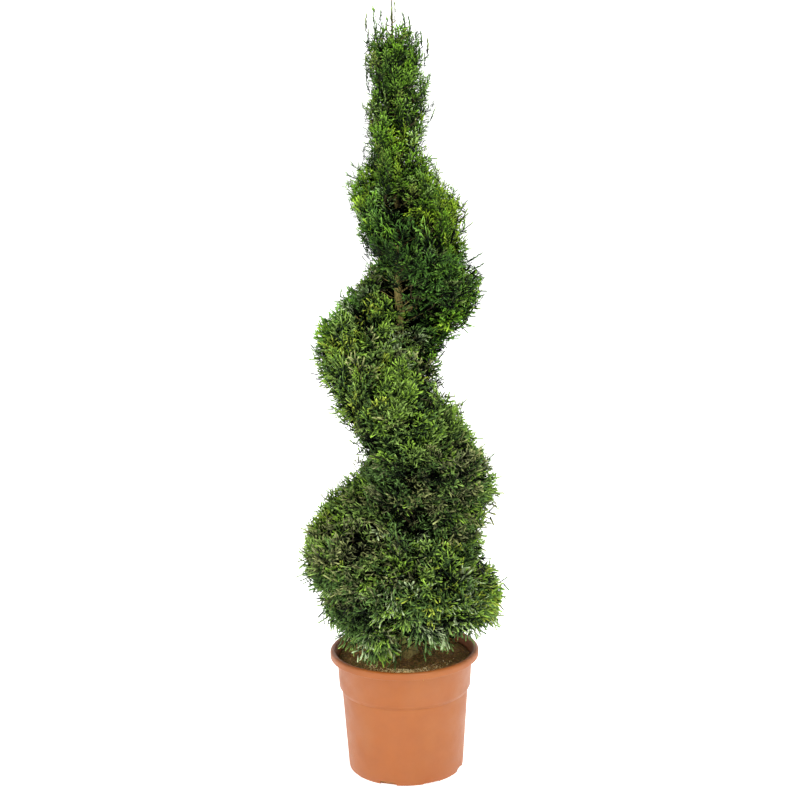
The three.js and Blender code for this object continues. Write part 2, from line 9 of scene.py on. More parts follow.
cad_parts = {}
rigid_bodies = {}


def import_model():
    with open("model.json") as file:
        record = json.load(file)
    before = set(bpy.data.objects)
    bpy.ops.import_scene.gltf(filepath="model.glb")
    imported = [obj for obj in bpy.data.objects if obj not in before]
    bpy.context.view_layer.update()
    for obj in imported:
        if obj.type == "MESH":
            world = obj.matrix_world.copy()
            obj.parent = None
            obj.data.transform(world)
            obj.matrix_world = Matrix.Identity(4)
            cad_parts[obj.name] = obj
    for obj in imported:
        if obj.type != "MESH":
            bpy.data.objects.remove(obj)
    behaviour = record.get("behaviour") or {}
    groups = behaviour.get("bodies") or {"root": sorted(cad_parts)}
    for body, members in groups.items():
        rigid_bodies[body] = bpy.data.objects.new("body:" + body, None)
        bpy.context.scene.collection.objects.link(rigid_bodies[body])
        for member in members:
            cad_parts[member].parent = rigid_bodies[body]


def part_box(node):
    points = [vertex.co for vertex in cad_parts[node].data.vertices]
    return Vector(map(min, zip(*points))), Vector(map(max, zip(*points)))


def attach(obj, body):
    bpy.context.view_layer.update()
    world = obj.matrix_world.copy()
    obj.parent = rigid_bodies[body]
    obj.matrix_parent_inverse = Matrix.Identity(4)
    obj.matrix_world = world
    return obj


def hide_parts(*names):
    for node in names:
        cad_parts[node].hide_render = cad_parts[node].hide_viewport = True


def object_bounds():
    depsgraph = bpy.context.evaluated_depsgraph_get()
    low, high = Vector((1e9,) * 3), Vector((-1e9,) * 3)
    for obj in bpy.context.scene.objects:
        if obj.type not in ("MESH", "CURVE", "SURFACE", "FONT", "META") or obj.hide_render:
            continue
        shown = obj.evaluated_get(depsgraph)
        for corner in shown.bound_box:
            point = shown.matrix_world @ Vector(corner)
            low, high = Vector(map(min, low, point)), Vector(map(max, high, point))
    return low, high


# A clipped spiral conifer in a nursery pot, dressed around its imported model. Metres, +Z up, front
# towards -Y. A "turn" is a half turn of the spiral: whole even numbers lie on the right (+X), odd
# ones on the left, and the halves on the front and back.
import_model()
CAD_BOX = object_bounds()

MM = 0.001
TAU = 2 * math.pi
BODY = "root"
SKY_STRENGTH = 0.38
FLOOR_GLOW = 0.68
FLOOR_RADIUS = 60
LENS = 86.27
CAMERA_PLACE = (0, -3.43, 1.506)
CAMERA_DIP = 12.98  # degrees below level
CAMERA_ROLL = -1.0
SOCKET_KINDS = {"value": "NodeSocketFloat", "colour": "NodeSocketColor"}
SHARP_EDGE = math.radians(40)  # edges of the pot that bend more than this stay crisp
QUARTERS = ("back", "right", "front", "left")
BOUGHS = 14
FINER_LIMBS = 210

# ---- sizes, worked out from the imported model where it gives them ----

POT_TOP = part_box("pot")[1]
LIP_RADIUS = POT_TOP.x
POT_HEIGHT = POT_TOP.z
LIP_HEIGHT = 14 * MM
LIP_INNER = LIP_RADIUS - 10 * MM
WALL = 3 * MM
POT_FLOOR = 4 * MM
STEP_HEIGHT = 165 * MM
STEP_DROP = 9 * MM
COLLAR_TOP_RADIUS = LIP_RADIUS - 13 * MM
COLLAR_FOOT_RADIUS = LIP_RADIUS - 16 * MM
BODY_TOP_RADIUS = LIP_RADIUS - 21.2 * MM
BASE_RADIUS = LIP_RADIUS - 31.5 * MM
BASE_ROUND = 5 * MM
NOTCHES = {"count": 8, "first": math.radians(-19), "width": 33 * MM, "deep": 8 * MM, "shallow": 3 * MM}

SOIL_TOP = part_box("soil")[1].z
SOIL_EDGE = SOIL_TOP - 3.5 * MM
SOIL_EDGE_RADIUS = 123.4 * MM

TRUNK_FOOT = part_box("trunk")[0].z
TRUNK_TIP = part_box("trunk")[1].z
TRUNK_FOOT_RADIUS = 17 * MM
TRUNK_TIP_RADIUS = 1.2 * MM
TRUNK_TAPER = 1.15
TRUNK_FLARE = 7 * MM
FLARE_HEIGHT = 22 * MM
TRUNK_SWAY = 2.5 * MM
SWAY_WAVE = 240 * MM
YOUNG_ABOVE = 1050 * MM

# The clipped crown: where the spiral's ridge is, how far it reaches, how much of the reach the groove
# above it cuts away, and how far up to the next ridge that groove lies. Every height and reach is the
# model's. The grooves at turns 0, 4.5 and 5 are shallower here, because fine sprays fill more of them.
Ridge = namedtuple("Ridge", "turn height reach cut groove")
RIDGES = [
    Ridge(-1, 285, 150, 0.04, 0.5),
    Ridge(0, 325, 201, 0.17, 0.46),
    Ridge(1, 442, 197, 0.62, 0.47),
    Ridge(2, 555, 180, 0.52, 0.57),
    Ridge(2.5, 700, 168, 0.72, 0.75),
    Ridge(3, 828, 161, 0.58, 0.6),
    Ridge(4, 930, 158, 0.1, 0.5),
    Ridge(4.5, 1010, 118, 0.24, 0.62),
    Ridge(5, 1110, 84, 0.26, 0.6),
    Ridge(6, 1055, 127, 0.4, 0.64),
    Ridge(7, 1255, 53, 0.1, 0.5),
    Ridge(8, 1275, 67, 0.1, 0.5),
    Ridge(9, 1345, 53, 0, 0.5),
    Ridge(10, 1350, 50, 0, 0.5),
]
CROWN_FOOT = 234 * MM
CROWN_TOP = 1396 * MM
FOOT_ROUND = 62 * MM
TOP_ROUND = 45 * MM
FOOT_REACH = 0.55
TOP_REACH = 0.6
RISE_BELOW = 80 * MM
RISE_ABOVE = 60 * MM
FIRST_TURN = -0.75
GROOVE_HALF = 32 * MM
GROOVE_SHADE = 1.7  # how soon a deeper cut puts a groove in full shade
SHADE_ENDS = 1060 * MM  # above this the crown is too slim for shade in its grooves
SHADE_FADES = 80 * MM
LIMBS_FROM = 246 * MM  # the lowest that a limb leaves the trunk

# ---- numbers and directions ----


def rounded_share(share, least):
    return least + (1 - least) * np.sqrt(1 - (1 - np.clip(share, 0, 1)) ** 2)


def unit(vectors):
    length = np.linalg.norm(vectors, axis=-1, keepdims=True)
    return vectors / np.maximum(length, 1e-9)


def polar(angle, radius, z):
    return np.stack([radius * np.cos(angle), radius * np.sin(angle), z + 0 * radius], axis=-1)


def shuffled(seed):
    return np.random.default_rng(seed)


def cloud_noise(points, scale, seed):
    """A smooth value from about -1 to 1 at each point, the same for neighbours nearer than the scale."""
    offset = Vector((seed * 7.3, seed * 3.1, seed * 5.7))
    return np.array([noise.noise(Vector(p) / scale + offset) for p in points])


# ---- the trunk and the clipped outline, by the model's rule ----


def trunk_radius(z):
    left = np.clip((TRUNK_TIP - z) / (TRUNK_TIP - TRUNK_FOOT), 0, 1)
    shaft = TRUNK_TIP_RADIUS + (TRUNK_FOOT_RADIUS - TRUNK_TIP_RADIUS) * left**TRUNK_TAPER
    return shaft + TRUNK_FLARE * np.exp(-np.maximum(z - TRUNK_FOOT, 0) / FLARE_HEIGHT)


def trunk_centre(z):
    up = (np.asarray(z, float) - TRUNK_FOOT) / SWAY_WAVE
    aside, back = TRUNK_SWAY * np.sin(up), TRUNK_SWAY * (np.cos(up * 1.3) - 1)
    return np.stack([aside, back, up * SWAY_WAVE + TRUNK_FOOT], -1)


def ridge_value(turn, key):
    scale = MM if key in ("height", "reach") else 1
    return np.interp(turn, [r.turn for r in RIDGES], [getattr(r, key) * scale for r in RIDGES])


def ridge_height(turn):
    below = np.minimum(turn - RIDGES[0].turn, 0) * RISE_BELOW
    above = np.maximum(turn - RIDGES[-1].turn, 0) * RISE_ABOVE
    return ridge_value(turn, "height") + below + above


def groove_height(turn):
    low = ridge_height(turn)
    return low + (ridge_height(turn + 2) - low) * ridge_value(turn, "groove")


def ridge_below(angle, z):
    """The turn of the ridge that runs at or below a height on that side of the plant."""
    turn = np.mod(-np.asarray(angle, float) / math.pi, 2) - 4 + 0 * z
    for _ in range(8):
        turn = np.where(z >= ridge_height(turn + 2), turn + 2, turn)
    return turn


def crown_radius(angle, z):
    """How far the clipped outline is from the axis."""
    turn = ridge_below(angle, z)
    low = ridge_height(turn)
    up = (z - low) / (ridge_height(turn + 2) - low)
    groove = ridge_value(turn, "groove")
    lower = ridge_value(turn, "reach")
    upper = ridge_value(turn + 2, "reach")
    cut = (1 - ridge_value(turn, "cut")) * (lower + (upper - lower) * groove)
    down = lower + (cut - lower) * (1 - np.cos(math.pi * up / groove)) / 2
    back = upper + (cut - upper) * (1 + np.cos(math.pi * (up - groove) / (1 - groove))) / 2
    foot = rounded_share((z - CROWN_FOOT) / FOOT_ROUND, FOOT_REACH)
    top = rounded_share((CROWN_TOP - z) / TOP_ROUND, TOP_REACH)
    return np.where(up < groove, down, back) * foot * top


def past_outline(points):
    """How far outside the clipped outline each point is, measured square to it."""
    angle, z = np.arctan2(points[:, 1], points[:, 0]), points[:, 2]
    step = 5 * MM
    slope = (crown_radius(angle, z + step) - crown_radius(angle, z - step)) / (2 * step)
    return (np.hypot(points[:, 0], points[:, 1]) - crown_radius(angle, z)) / np.sqrt(1 + slope**2)


def groove_depth(angle, z):
    """How deep in the shade of a groove a place on the crown is, from 0 to 1."""
    turn = ridge_below(angle, z)
    near = np.exp(-(((z - groove_height(turn)) / GROOVE_HALF) ** 2))
    cut = np.clip(GROOVE_SHADE * ridge_value(turn, "cut"), 0, 1)
    return near * cut * np.clip((SHADE_ENDS - z) / SHADE_FADES, 0, 1)


def mass_turn(angle, z):
    """The turn of the spiral that a point of the crown belongs to, between its two grooves."""
    turn = ridge_below(angle, z)
    return np.where(z >= groove_height(turn), turn + 2, turn)


def outward_at(angle, z):
    """The direction straight out of the clipped outline."""
    step = 6 * MM
    turn_step = step / np.maximum(crown_radius(angle, z), 20 * MM)
    round_slope = (crown_radius(angle + turn_step, z) - crown_radius(angle - turn_step, z)) / (2 * step)
    up_slope = (crown_radius(angle, z + step) - crown_radius(angle, z - step)) / (2 * step)
    out = polar(angle, np.ones_like(z), 0 * z)
    side = polar(angle + math.pi / 2, -np.clip(round_slope, -1, 1), 0 * z)
    rise = np.stack([0 * z, 0 * z, -np.clip(up_slope, -1.2, 1.2)], -1)
    return unit(out + side + rise)


def limb_path(turn, top, reach, steps):
    """A limb's route from the trunk, rising out to a height on one side of the plant."""
    angle = -turn * math.pi
    start = max(top - reach * 0.5, LIMBS_FROM)
    a = trunk_centre(start)
    b = polar(angle, np.float64(0.62 * reach), start + (top - start) * 0.42)
    c = polar(angle, np.float64(reach), top)
    t = np.linspace(0, 1, steps + 1)[:, None]
    return a * (1 - t) ** 2 + b * 2 * t * (1 - t) + c * t**2


# ---- meshes ----


def new_object(name, mesh, collection=None):
    made = bpy.data.objects.new(name, mesh)
    (collection or bpy.context.scene.collection).objects.link(made)
    return made


def add_attribute(mesh, name, values):
    values = np.asarray(values)
    if values.dtype.kind == "i":
        layer = mesh.attributes.new(name, "INT", "POINT")
        layer.data.foreach_set("value", values.astype(np.int32))
    elif values.ndim == 2:
        layer = mesh.attributes.new(name, "FLOAT_VECTOR", "POINT")
        layer.data.foreach_set("vector", values.astype(np.float32).ravel())
    else:
        layer = mesh.attributes.new(name, "FLOAT", "POINT")
        layer.data.foreach_set("value", values.astype(np.float32))


def point_mesh(name, points, edges=(), **attributes):
    mesh = bpy.data.meshes.new(name)
    mesh.from_pydata(np.asarray(points, float).tolist(), list(edges), [])
    for key, values in attributes.items():
        add_attribute(mesh, key, values)
    return mesh


def grid_faces(rows, columns):
    """Quads over rings of points; each ring's last point joins its first."""
    faces = []
    for i in range(rows - 1):
        for j in range(columns):
            a = i * columns + j
            b = i * columns + (j + 1) % columns
            faces.append((a, b, b + columns, a + columns))
    return faces


def smooth_mesh(name, points, faces, angle=None):
    mesh = bpy.data.meshes.new(name)
    mesh.from_pydata(np.asarray(points, float).tolist(), [], faces)
    mesh.polygons.foreach_set("use_smooth", [True] * len(mesh.polygons))
    if angle is not None:
        mesh.set_sharp_from_angle(angle=angle)
    mesh.update()
    return mesh


def lathe(name, profile, segments, wobble):
    """A closed turned mesh about +Z from (radius, height) pairs that start and end on the axis."""
    turns = np.arange(segments) * TAU / segments
    rings = []
    for radius, height in profile[1:-1]:
        rings.append(polar(turns, radius + wobble(turns, height), np.float64(height)))
    points = np.concatenate([*rings, [[0, 0, profile[0][1]], [0, 0, profile[-1][1]]]])
    count = len(rings)
    faces = grid_faces(count, segments)
    first, last = count * segments, count * segments + 1
    for j in range(segments):
        after = (j + 1) % segments
        faces.append((first, after, j))
        faces.append((last, (count - 1) * segments + j, (count - 1) * segments + after))
    return smooth_mesh(name, points, faces, SHARP_EDGE)


def arc(centre, radius, first, last, steps):
    """Points of an arc in a profile; angles in degrees from straight out."""
    turns = np.radians(np.linspace(first, last, steps + 1))
    return [(centre[0] + radius * math.cos(t), centre[1] + radius * math.sin(t)) for t in turns]


# ---- nodes ----


def add_node(tree, kind, inputs=(), **settings):
    """A new node with its settings; each input, by name, takes a value or a link from a socket."""
    node = tree.nodes.new(kind)
    for key, value in settings.items():
        setattr(node, key, value)
    for key, value in dict(inputs).items():
        if isinstance(value, bpy.types.NodeSocket):
            tree.links.new(value, node.inputs[key])
        else:
            node.inputs[key].default_value = value
    return node


def node_tree(name, inputs):
    """A geometry node tree with a mesh in, a mesh out and named inputs between."""
    tree = bpy.data.node_groups.new(name, "GeometryNodeTree")
    for label, kind in [("Mesh", "NodeSocketGeometry"), *inputs]:
        tree.interface.new_socket(label, in_out="INPUT", socket_type=kind)
    tree.interface.new_socket("Mesh", in_out="OUTPUT", socket_type="NodeSocketGeometry")
    return tree, tree.nodes.new("NodeGroupInput"), tree.nodes.new("NodeGroupOutput")


def read_attribute(tree, name, kind):
    node = add_node(tree, "GeometryNodeInputNamedAttribute", {"Name": name}, data_type=kind)
    return node.outputs["Attribute"]


def finish_tree(tree, source, given, result):
    """Every tree ends in Realize Instances and Set Material."""
    realize = add_node(tree, "GeometryNodeRealizeInstances", {"Geometry": source})
    inputs = {"Geometry": realize.outputs["Geometry"], "Material": given.outputs["Finish"]}
    finish = add_node(tree, "GeometryNodeSetMaterial", inputs)
    tree.links.new(finish.outputs["Geometry"], result.inputs["Mesh"])
    return tree


def planting_tree():
    """Plants a shape from a kit at each point, by the point's own turn, size and kind."""
    inputs = [("Kit", "NodeSocketCollection"), ("Finish", "NodeSocketMaterial")]
    tree, given, result = node_tree("plant_on_points", inputs)
    inputs = {"Collection": given.outputs["Kit"], "Separate Children": True, "Reset Children": True}
    kit = add_node(tree, "GeometryNodeCollectionInfo", inputs)
    inputs = {"Euler": read_attribute(tree, "turn", "FLOAT_VECTOR")}
    turn = add_node(tree, "FunctionNodeEulerToRotation", inputs)
    inputs = {
        "Points": given.outputs["Mesh"],
        "Instance": kit.outputs["Instances"],
        "Pick Instance": True,
        "Instance Index": read_attribute(tree, "kind", "INT"),
        "Rotation": turn.outputs["Rotation"],
        "Scale": read_attribute(tree, "size", "FLOAT_VECTOR"),
    }
    plant = add_node(tree, "GeometryNodeInstanceOnPoints", inputs)
    return finish_tree(tree, plant.outputs["Instances"], given, result)


def limb_tree():
    """Turns lines into round limbs, as thick as each point says."""
    inputs = [("Sides", "NodeSocketInt"), ("Finish", "NodeSocketMaterial")]
    tree, given, result = node_tree("round_limbs", inputs)
    lines = add_node(tree, "GeometryNodeMeshToCurve", {"Mesh": given.outputs["Mesh"]})
    inputs = {"Resolution": given.outputs["Sides"], "Radius": 1}
    section = add_node(tree, "GeometryNodeCurvePrimitiveCircle", inputs)
    inputs = {
        "Curve": lines.outputs["Curve"],
        "Profile Curve": section.outputs["Curve"],
        "Scale": read_attribute(tree, "thick", "FLOAT"),
        "Fill Caps": True,
    }
    sweep = add_node(tree, "GeometryNodeCurveToMesh", inputs)
    return finish_tree(tree, sweep.outputs["Mesh"], given, result)


def grown(name, base, tree, **inputs):
    """The plain mesh object that a tree makes from a base mesh."""
    seedling = new_object(name + "_base", base)
    modifier = seedling.modifiers.new("grow", "NODES")
    modifier.node_group = tree
    for item in tree.interface.items_tree:
        if item.item_type == "SOCKET" and item.in_out == "INPUT" and item.name in inputs:
            modifier[item.identifier] = inputs[item.name]
    bpy.context.view_layer.update()
    depsgraph = bpy.context.evaluated_depsgraph_get()
    mesh = bpy.data.meshes.new_from_object(seedling.evaluated_get(depsgraph))
    mesh.name = name
    for key in ("turn", "size", "kind", "thick"):
        if key in mesh.attributes:
            mesh.attributes.remove(mesh.attributes[key])
    bpy.data.objects.remove(seedling)
    bpy.data.meshes.remove(base)
    return new_object(name, mesh)


def make_kit(name, meshes):
    """Shapes for planting, kept out of the scene; they are picked in this order."""
    kit = bpy.data.collections.new(name)
    for i, mesh in enumerate(meshes):
        new_object(f"{name}_{i:02d}", mesh, kit)
    return kit


def clear_kit(kit):
    for shape in list(kit.objects):
        bpy.data.objects.remove(shape)
    bpy.data.collections.remove(kit)


def euler_from_axes(along, across, facing):
    """XYZ turns that carry +X, +Y and +Z onto three square directions."""
    pitch = -np.arcsin(np.clip(along[:, 2], -1, 1))
    roll = np.arctan2(across[:, 2], facing[:, 2])
    yaw = np.arctan2(along[:, 1], along[:, 0])
    return np.stack([roll, pitch, yaw], -1)


# ---- finishes ----


def linear(red, green, blue):
    """A colour as the eye reads it, from 0 to 255, in the renderer's own scale."""
    levels = [((c / 255 + 0.055) / 1.055) ** 2.4 if c > 10 else c / 3294 for c in (red, green, blue)]
    return (*levels, 1)


def shader_group(name, inputs, outputs):
    tree = bpy.data.node_groups.new(name, "ShaderNodeTree")
    for label, kind, start in inputs:
        made = tree.interface.new_socket(label, in_out="INPUT", socket_type=SOCKET_KINDS[kind])
        made.default_value = start
    for label, kind in outputs:
        tree.interface.new_socket(label, in_out="OUTPUT", socket_type=SOCKET_KINDS[kind])
    return tree, tree.nodes.new("NodeGroupInput"), tree.nodes.new("NodeGroupOutput")


def object_point(tree, stretch=(1, 1, 1)):
    """Object coordinates, stretched where a pattern runs one way."""
    place = add_node(tree, "ShaderNodeTexCoord").outputs["Object"]
    return add_node(tree, "ShaderNodeMapping", {"Vector": place, "Scale": stretch}).outputs["Vector"]


def cloud(tree, point, scale, detail, roughness=0.5):
    inputs = {"Vector": point, "Scale": scale, "Detail": detail, "Roughness": roughness}
    return add_node(tree, "ShaderNodeTexNoise", inputs).outputs["Fac"]


def spread(tree, value, low, high, start=0.0, end=1.0):
    """A value's range from low to high, spread over another range."""
    inputs = {"Value": value, "From Min": low, "From Max": high, "To Min": start, "To Max": end}
    return add_node(tree, "ShaderNodeMapRange", inputs).outputs["Result"]


def reckon(tree, operation, first, second):
    return add_node(tree, "ShaderNodeMath", {0: first, 1: second}, operation=operation).outputs["Value"]


def mixed(tree, factor, first, second, kind="RGBA"):
    inputs = {"Factor": factor, "A": first, "B": second}
    return add_node(tree, "ShaderNodeMix", inputs, data_type=kind).outputs["Result"]


def make_uneven_tone():
    """Lightens and darkens a colour in soft patches and fine specks."""
    inputs = [("Color", "colour", (0.5, 0.5, 0.5, 1)), ("Scale", "value", 20.0), ("Strength", "value", 0.3)]
    tree, given, result = shader_group("uneven_tone", inputs, [("Color", "colour")])
    patches = cloud(tree, object_point(tree), given.outputs["Scale"], 4, 0.65)
    lift = reckon(tree, "MULTIPLY", spread(tree, patches, 0.25, 0.75, -1), given.outputs["Strength"])
    inputs = {0: given.outputs["Color"], "Scale": reckon(tree, "ADD", lift, 1)}
    blend = add_node(tree, "ShaderNodeVectorMath", inputs, operation="SCALE")
    tree.links.new(blend.outputs["Vector"], result.inputs["Color"])
    return tree


def make_two_tone():
    """Mixes two colours in patches with soft edges."""
    inputs = [
        ("First", "colour", (0.5, 0.5, 0.5, 1)),
        ("Second", "colour", (0.2, 0.2, 0.2, 1)),
        ("Scale", "value", 20.0),
        ("Share", "value", 0.5),
    ]
    tree, given, result = shader_group("two_tone", inputs, [("Color", "colour")])
    patches = cloud(tree, object_point(tree), given.outputs["Scale"], 5, 0.6)
    edge = spread(tree, reckon(tree, "ADD", patches, given.outputs["Share"]), 0.9, 1.1)
    mix = mixed(tree, edge, given.outputs["First"], given.outputs["Second"])
    tree.links.new(mix, result.inputs["Color"])
    return tree


def make_fine_relief():
    """A fine grain as a height, the same in every direction."""
    inputs = [("Scale", "value", 500.0), ("Pits", "value", 0.5)]
    tree, given, result = shader_group("fine_relief", inputs, [("Height", "value")])
    point = object_point(tree)
    grain = cloud(tree, point, given.outputs["Scale"], 3)
    cells = add_node(tree, "ShaderNodeTexVoronoi", {"Vector": point, "Scale": given.outputs["Scale"]})
    mix = mixed(tree, given.outputs["Pits"], grain, cells.outputs["Distance"], "FLOAT")
    tree.links.new(mix, result.inputs["Height"])
    return tree


GROUPS = {"uneven_tone": make_uneven_tone(), "two_tone": make_two_tone(), "fine_relief": make_fine_relief()}


class Finish:
    """A material built round one Principled shader, with the shared effects placed in it."""

    def __init__(self, name, roughness, specular=0.5):
        self.material = bpy.data.materials.new(name)
        self.material.use_nodes = True
        self.tree = self.material.node_tree
        self.shader = self.tree.nodes["Principled BSDF"]
        self.shader.inputs["Roughness"].default_value = roughness
        self.shader.inputs["Specular IOR Level"].default_value = specular

    def link(self, source, target):
        self.tree.links.new(source, self.shader.inputs[target])

    def effect(self, name, output, **values):
        return add_node(self.tree, "ShaderNodeGroup", values, node_tree=GROUPS[name]).outputs[output]

    def tone(self, colour, scale, strength):
        """The surface's colour, made a little uneven."""
        uneven = self.effect("uneven_tone", "Color", Color=colour, Scale=scale, Strength=strength)
        self.link(uneven, "Base Color")

    def bump(self, height, distance):
        inputs = {"Height": height, "Distance": distance, "Strength": 1}
        self.link(add_node(self.tree, "ShaderNodeBump", inputs).outputs["Normal"], "Normal")

    def relief(self, scale, pits, distance):
        self.bump(self.effect("fine_relief", "Height", Scale=scale, Pits=pits), distance)

    def mix(self, factor, first, second):
        return mixed(self.tree, factor, first, second)

    def noise(self, scale, stretch=(1, 1, 1), detail=4, roughness=0.6):
        return cloud(self.tree, object_point(self.tree, stretch), scale, detail, roughness)

    def spread(self, value, low, high, start=0.0, end=1.0):
        return spread(self.tree, value, low, high, start, end)

    def attribute(self, name):
        return add_node(self.tree, "ShaderNodeAttribute", attribute_name=name).outputs["Fac"]


def leaf_finish(name, body, tip, dark_share=0.45, specular=0.12):
    """Scale leaves: dark over the foot of a spray, paler at its finger ends. In the crown's sprays the dark
    foot is painted shade and the pale ends are partly painted highlight.
    """
    finish = Finish(name, roughness=0.6, specular=specular)
    along = finish.spread(finish.attribute("tip"), dark_share, dark_share + 0.45)
    finish.tone(finish.mix(along, linear(*body), linear(*tip)), 90.0, 0.22)
    finish.relief(900.0, 0.6, 0.4 * MM)
    return finish.material


YOUNG_WOOD = (62, 62, 30)
FIBRE_STRETCH = (1, 1, 0.18)  # bark fibres run up and down


def bark_finish(name, ridge, furrow, moss):
    """Fibrous bark: long pale ridges over darker furrows, a little green in patches."""
    finish = Finish(name, roughness=0.85, specular=0.25)
    fibres = finish.noise(420, FIBRE_STRETCH, detail=5, roughness=0.7)
    base = finish.mix(finish.spread(fibres, 0.35, 0.62), linear(*furrow), linear(*ridge))
    mossy = finish.effect("two_tone", "Color", First=base, Second=linear(*moss), Scale=38.0, Share=0.36)
    finish.tone(finish.mix(finish.attribute("young"), mossy, linear(*YOUNG_WOOD)), 60.0, 0.3)
    finish.bump(fibres, 0.9 * MM)
    return finish.material


def pot_finish():
    """Moulded plastic: even terracotta with a faint bloom, a fine grain and an uneven shine."""
    finish = Finish("terracotta_plastic", roughness=0.5, specular=0.45)
    first, second = linear(147, 80, 26), linear(141, 75, 23)
    body = finish.effect("two_tone", "Color", First=first, Second=second, Scale=7.0, Share=0.5)
    bloom = finish.noise(9, (1, 1, 0.5), detail=2)
    finish.tone(finish.mix(finish.spread(bloom, 0.5, 0.8, 0, 0.35), body, linear(152, 96, 46)), 45.0, 0.05)
    worn = finish.noise(24, detail=5)
    finish.link(finish.spread(worn, 0.3, 0.7, 0.42, 0.62), "Roughness")
    finish.relief(1400.0, 0.25, 0.12 * MM)
    return finish.material


def soil_finish(name, first, second, share=0.5, scale=30.0):
    finish = Finish(name, roughness=0.95, specular=0.15)
    first, second = linear(*first), linear(*second)
    body = finish.effect("two_tone", "Color", First=first, Second=second, Scale=scale, Share=share)
    finish.tone(body, 220.0, 0.5)
    finish.relief(600.0, 0.5, 1.5 * MM)
    return finish.material


def plain_finish(name, colour, roughness):
    finish = Finish(name, roughness)
    finish.tone(linear(*colour), 2.0, 0.01)
    return finish.material


# ---- small helpers for pieces ----

PLANT = planting_tree()
SWEEP = limb_tree()


def settle(piece, nodes=()):
    """Every piece rides on the one body and stands for the nodes it replaces, which are hidden."""
    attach(piece, BODY)
    if nodes:
        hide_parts(*nodes)
    return piece


# ---- pot ----


def pot_wobble(turns, height):
    """A thin moulded wall is never quite round: it leans in and out by a fraction of a millimetre."""
    share = height / POT_HEIGHT
    return (0.5 * np.sin(2 * turns + 0.7) + 0.22 * np.sin(5 * turns + 2 * share)) * MM * share


def pot_outline():
    """The pot's section from the middle of its underside, up the wall, over the lip and down inside."""
    step_foot = STEP_HEIGHT - STEP_DROP
    lip_foot = POT_HEIGHT - LIP_HEIGHT
    foot = arc((BASE_RADIUS - BASE_ROUND, BASE_ROUND), BASE_ROUND, -90, -8, 5)
    step = [
        (BODY_TOP_RADIUS, step_foot),
        (BODY_TOP_RADIUS + 1.2 * MM, step_foot + 0.8 * MM),
        (COLLAR_FOOT_RADIUS - 1 * MM, STEP_HEIGHT - 1.5 * MM),
        (COLLAR_FOOT_RADIUS, STEP_HEIGHT),
    ]
    collar = [(COLLAR_TOP_RADIUS, lip_foot - 2 * MM), (COLLAR_TOP_RADIUS + 1.5 * MM, lip_foot)]
    under = arc((LIP_RADIUS - 3 * MM, lip_foot + 3 * MM), 3 * MM, -90, 0, 4)
    over = arc((LIP_RADIUS - 5 * MM, POT_HEIGHT - 5 * MM), 5 * MM, 0, 90, 6)
    back = arc((LIP_INNER + 3 * MM, POT_HEIGHT - 3 * MM), 3 * MM, 90, 180, 4)
    inside = [
        (COLLAR_TOP_RADIUS - WALL + 1 * MM, lip_foot - 4 * MM),
        (COLLAR_FOOT_RADIUS - WALL, STEP_HEIGHT),
        (BODY_TOP_RADIUS - WALL, step_foot),
        (BASE_RADIUS - WALL, POT_FLOOR + 2 * MM),
        (BASE_RADIUS - WALL - 2 * MM, POT_FLOOR),
    ]
    levels = [(BASE_RADIUS + (BODY_TOP_RADIUS - BASE_RADIUS) * i / 8, step_foot * i / 8) for i in range(1, 8)]
    rise = [(0, 0), (BASE_RADIUS - 22 * MM, 0), *foot, *levels, *step, *collar]
    return [*rise, *under, *over, *back, *inside, (0, POT_FLOOR)]


def notch_cutters():
    """The drain notches round the foot, every other one deep, with rounded shoulders."""
    points, faces = [], []
    for i in range(NOTCHES["count"]):
        rise = NOTCHES["shallow"] if i % 2 else NOTCHES["deep"]
        half = NOTCHES["width"] / 2
        corner = rise * 0.6
        shoulder = arc((half - corner, rise - corner), corner, 0, 90, 4)
        outline = [(half, -2 * MM), *shoulder]
        outline += [(-x, z) for x, z in reversed(outline)]
        turn = Matrix.Rotation(NOTCHES["first"] + TAU * i / NOTCHES["count"], 3, "Z")
        start = len(points)
        count = len(outline)
        for depth in (BASE_RADIUS - 9 * MM, BASE_RADIUS + 10 * MM):
            points += [turn @ Vector((depth, x, z)) for x, z in outline]
        faces.append([start + j for j in reversed(range(count))])
        faces.append([start + count + j for j in range(count)])
        for j in range(count):
            after = (j + 1) % count
            faces.append([start + j, start + after, start + count + after, start + count + j])
    mesh = bpy.data.meshes.new("notch_cutters")
    mesh.from_pydata([tuple(p) for p in points], [], faces)
    return new_object("notch_cutters", mesh)


def apply_modifiers(piece):
    """Swaps a piece's mesh for the one its modifiers make."""
    bpy.context.view_layer.update()
    depsgraph = bpy.context.evaluated_depsgraph_get()
    mesh = bpy.data.meshes.new_from_object(piece.evaluated_get(depsgraph))
    piece.modifiers.clear()
    piece.data = mesh


def make_pot():
    piece = new_object("terracotta_pot", lathe("terracotta_pot", pot_outline(), 192, pot_wobble))
    cutters = notch_cutters()
    cut = piece.modifiers.new("notches", "BOOLEAN")
    cut.object = cutters
    cut.operation = "DIFFERENCE"
    cut.solver = "EXACT"
    apply_modifiers(piece)
    bpy.data.objects.remove(cutters)
    piece.data.materials.clear()
    piece.data.materials.append(pot_finish())
    return settle(piece, ["pot"])


# ---- soil ----


def soil_height(x, y):
    """Settled compost: level, a little higher in the middle, with low mounds and hollows."""
    radius = np.hypot(x, y)
    share = np.clip(radius / SOIL_EDGE_RADIUS, 0, 1)
    base = SOIL_TOP + (SOIL_EDGE - SOIL_TOP) * share**2
    spots = np.stack([x, y, 0 * x], -1)
    mounds = cloud_noise(spots, 38 * MM, 3) * 2.2 + cloud_noise(spots, 11 * MM, 4) * 1.3
    fine = cloud_noise(spots, 4 * MM, 5) * 0.7
    return base + (mounds + fine) * MM * (1 - share**8)


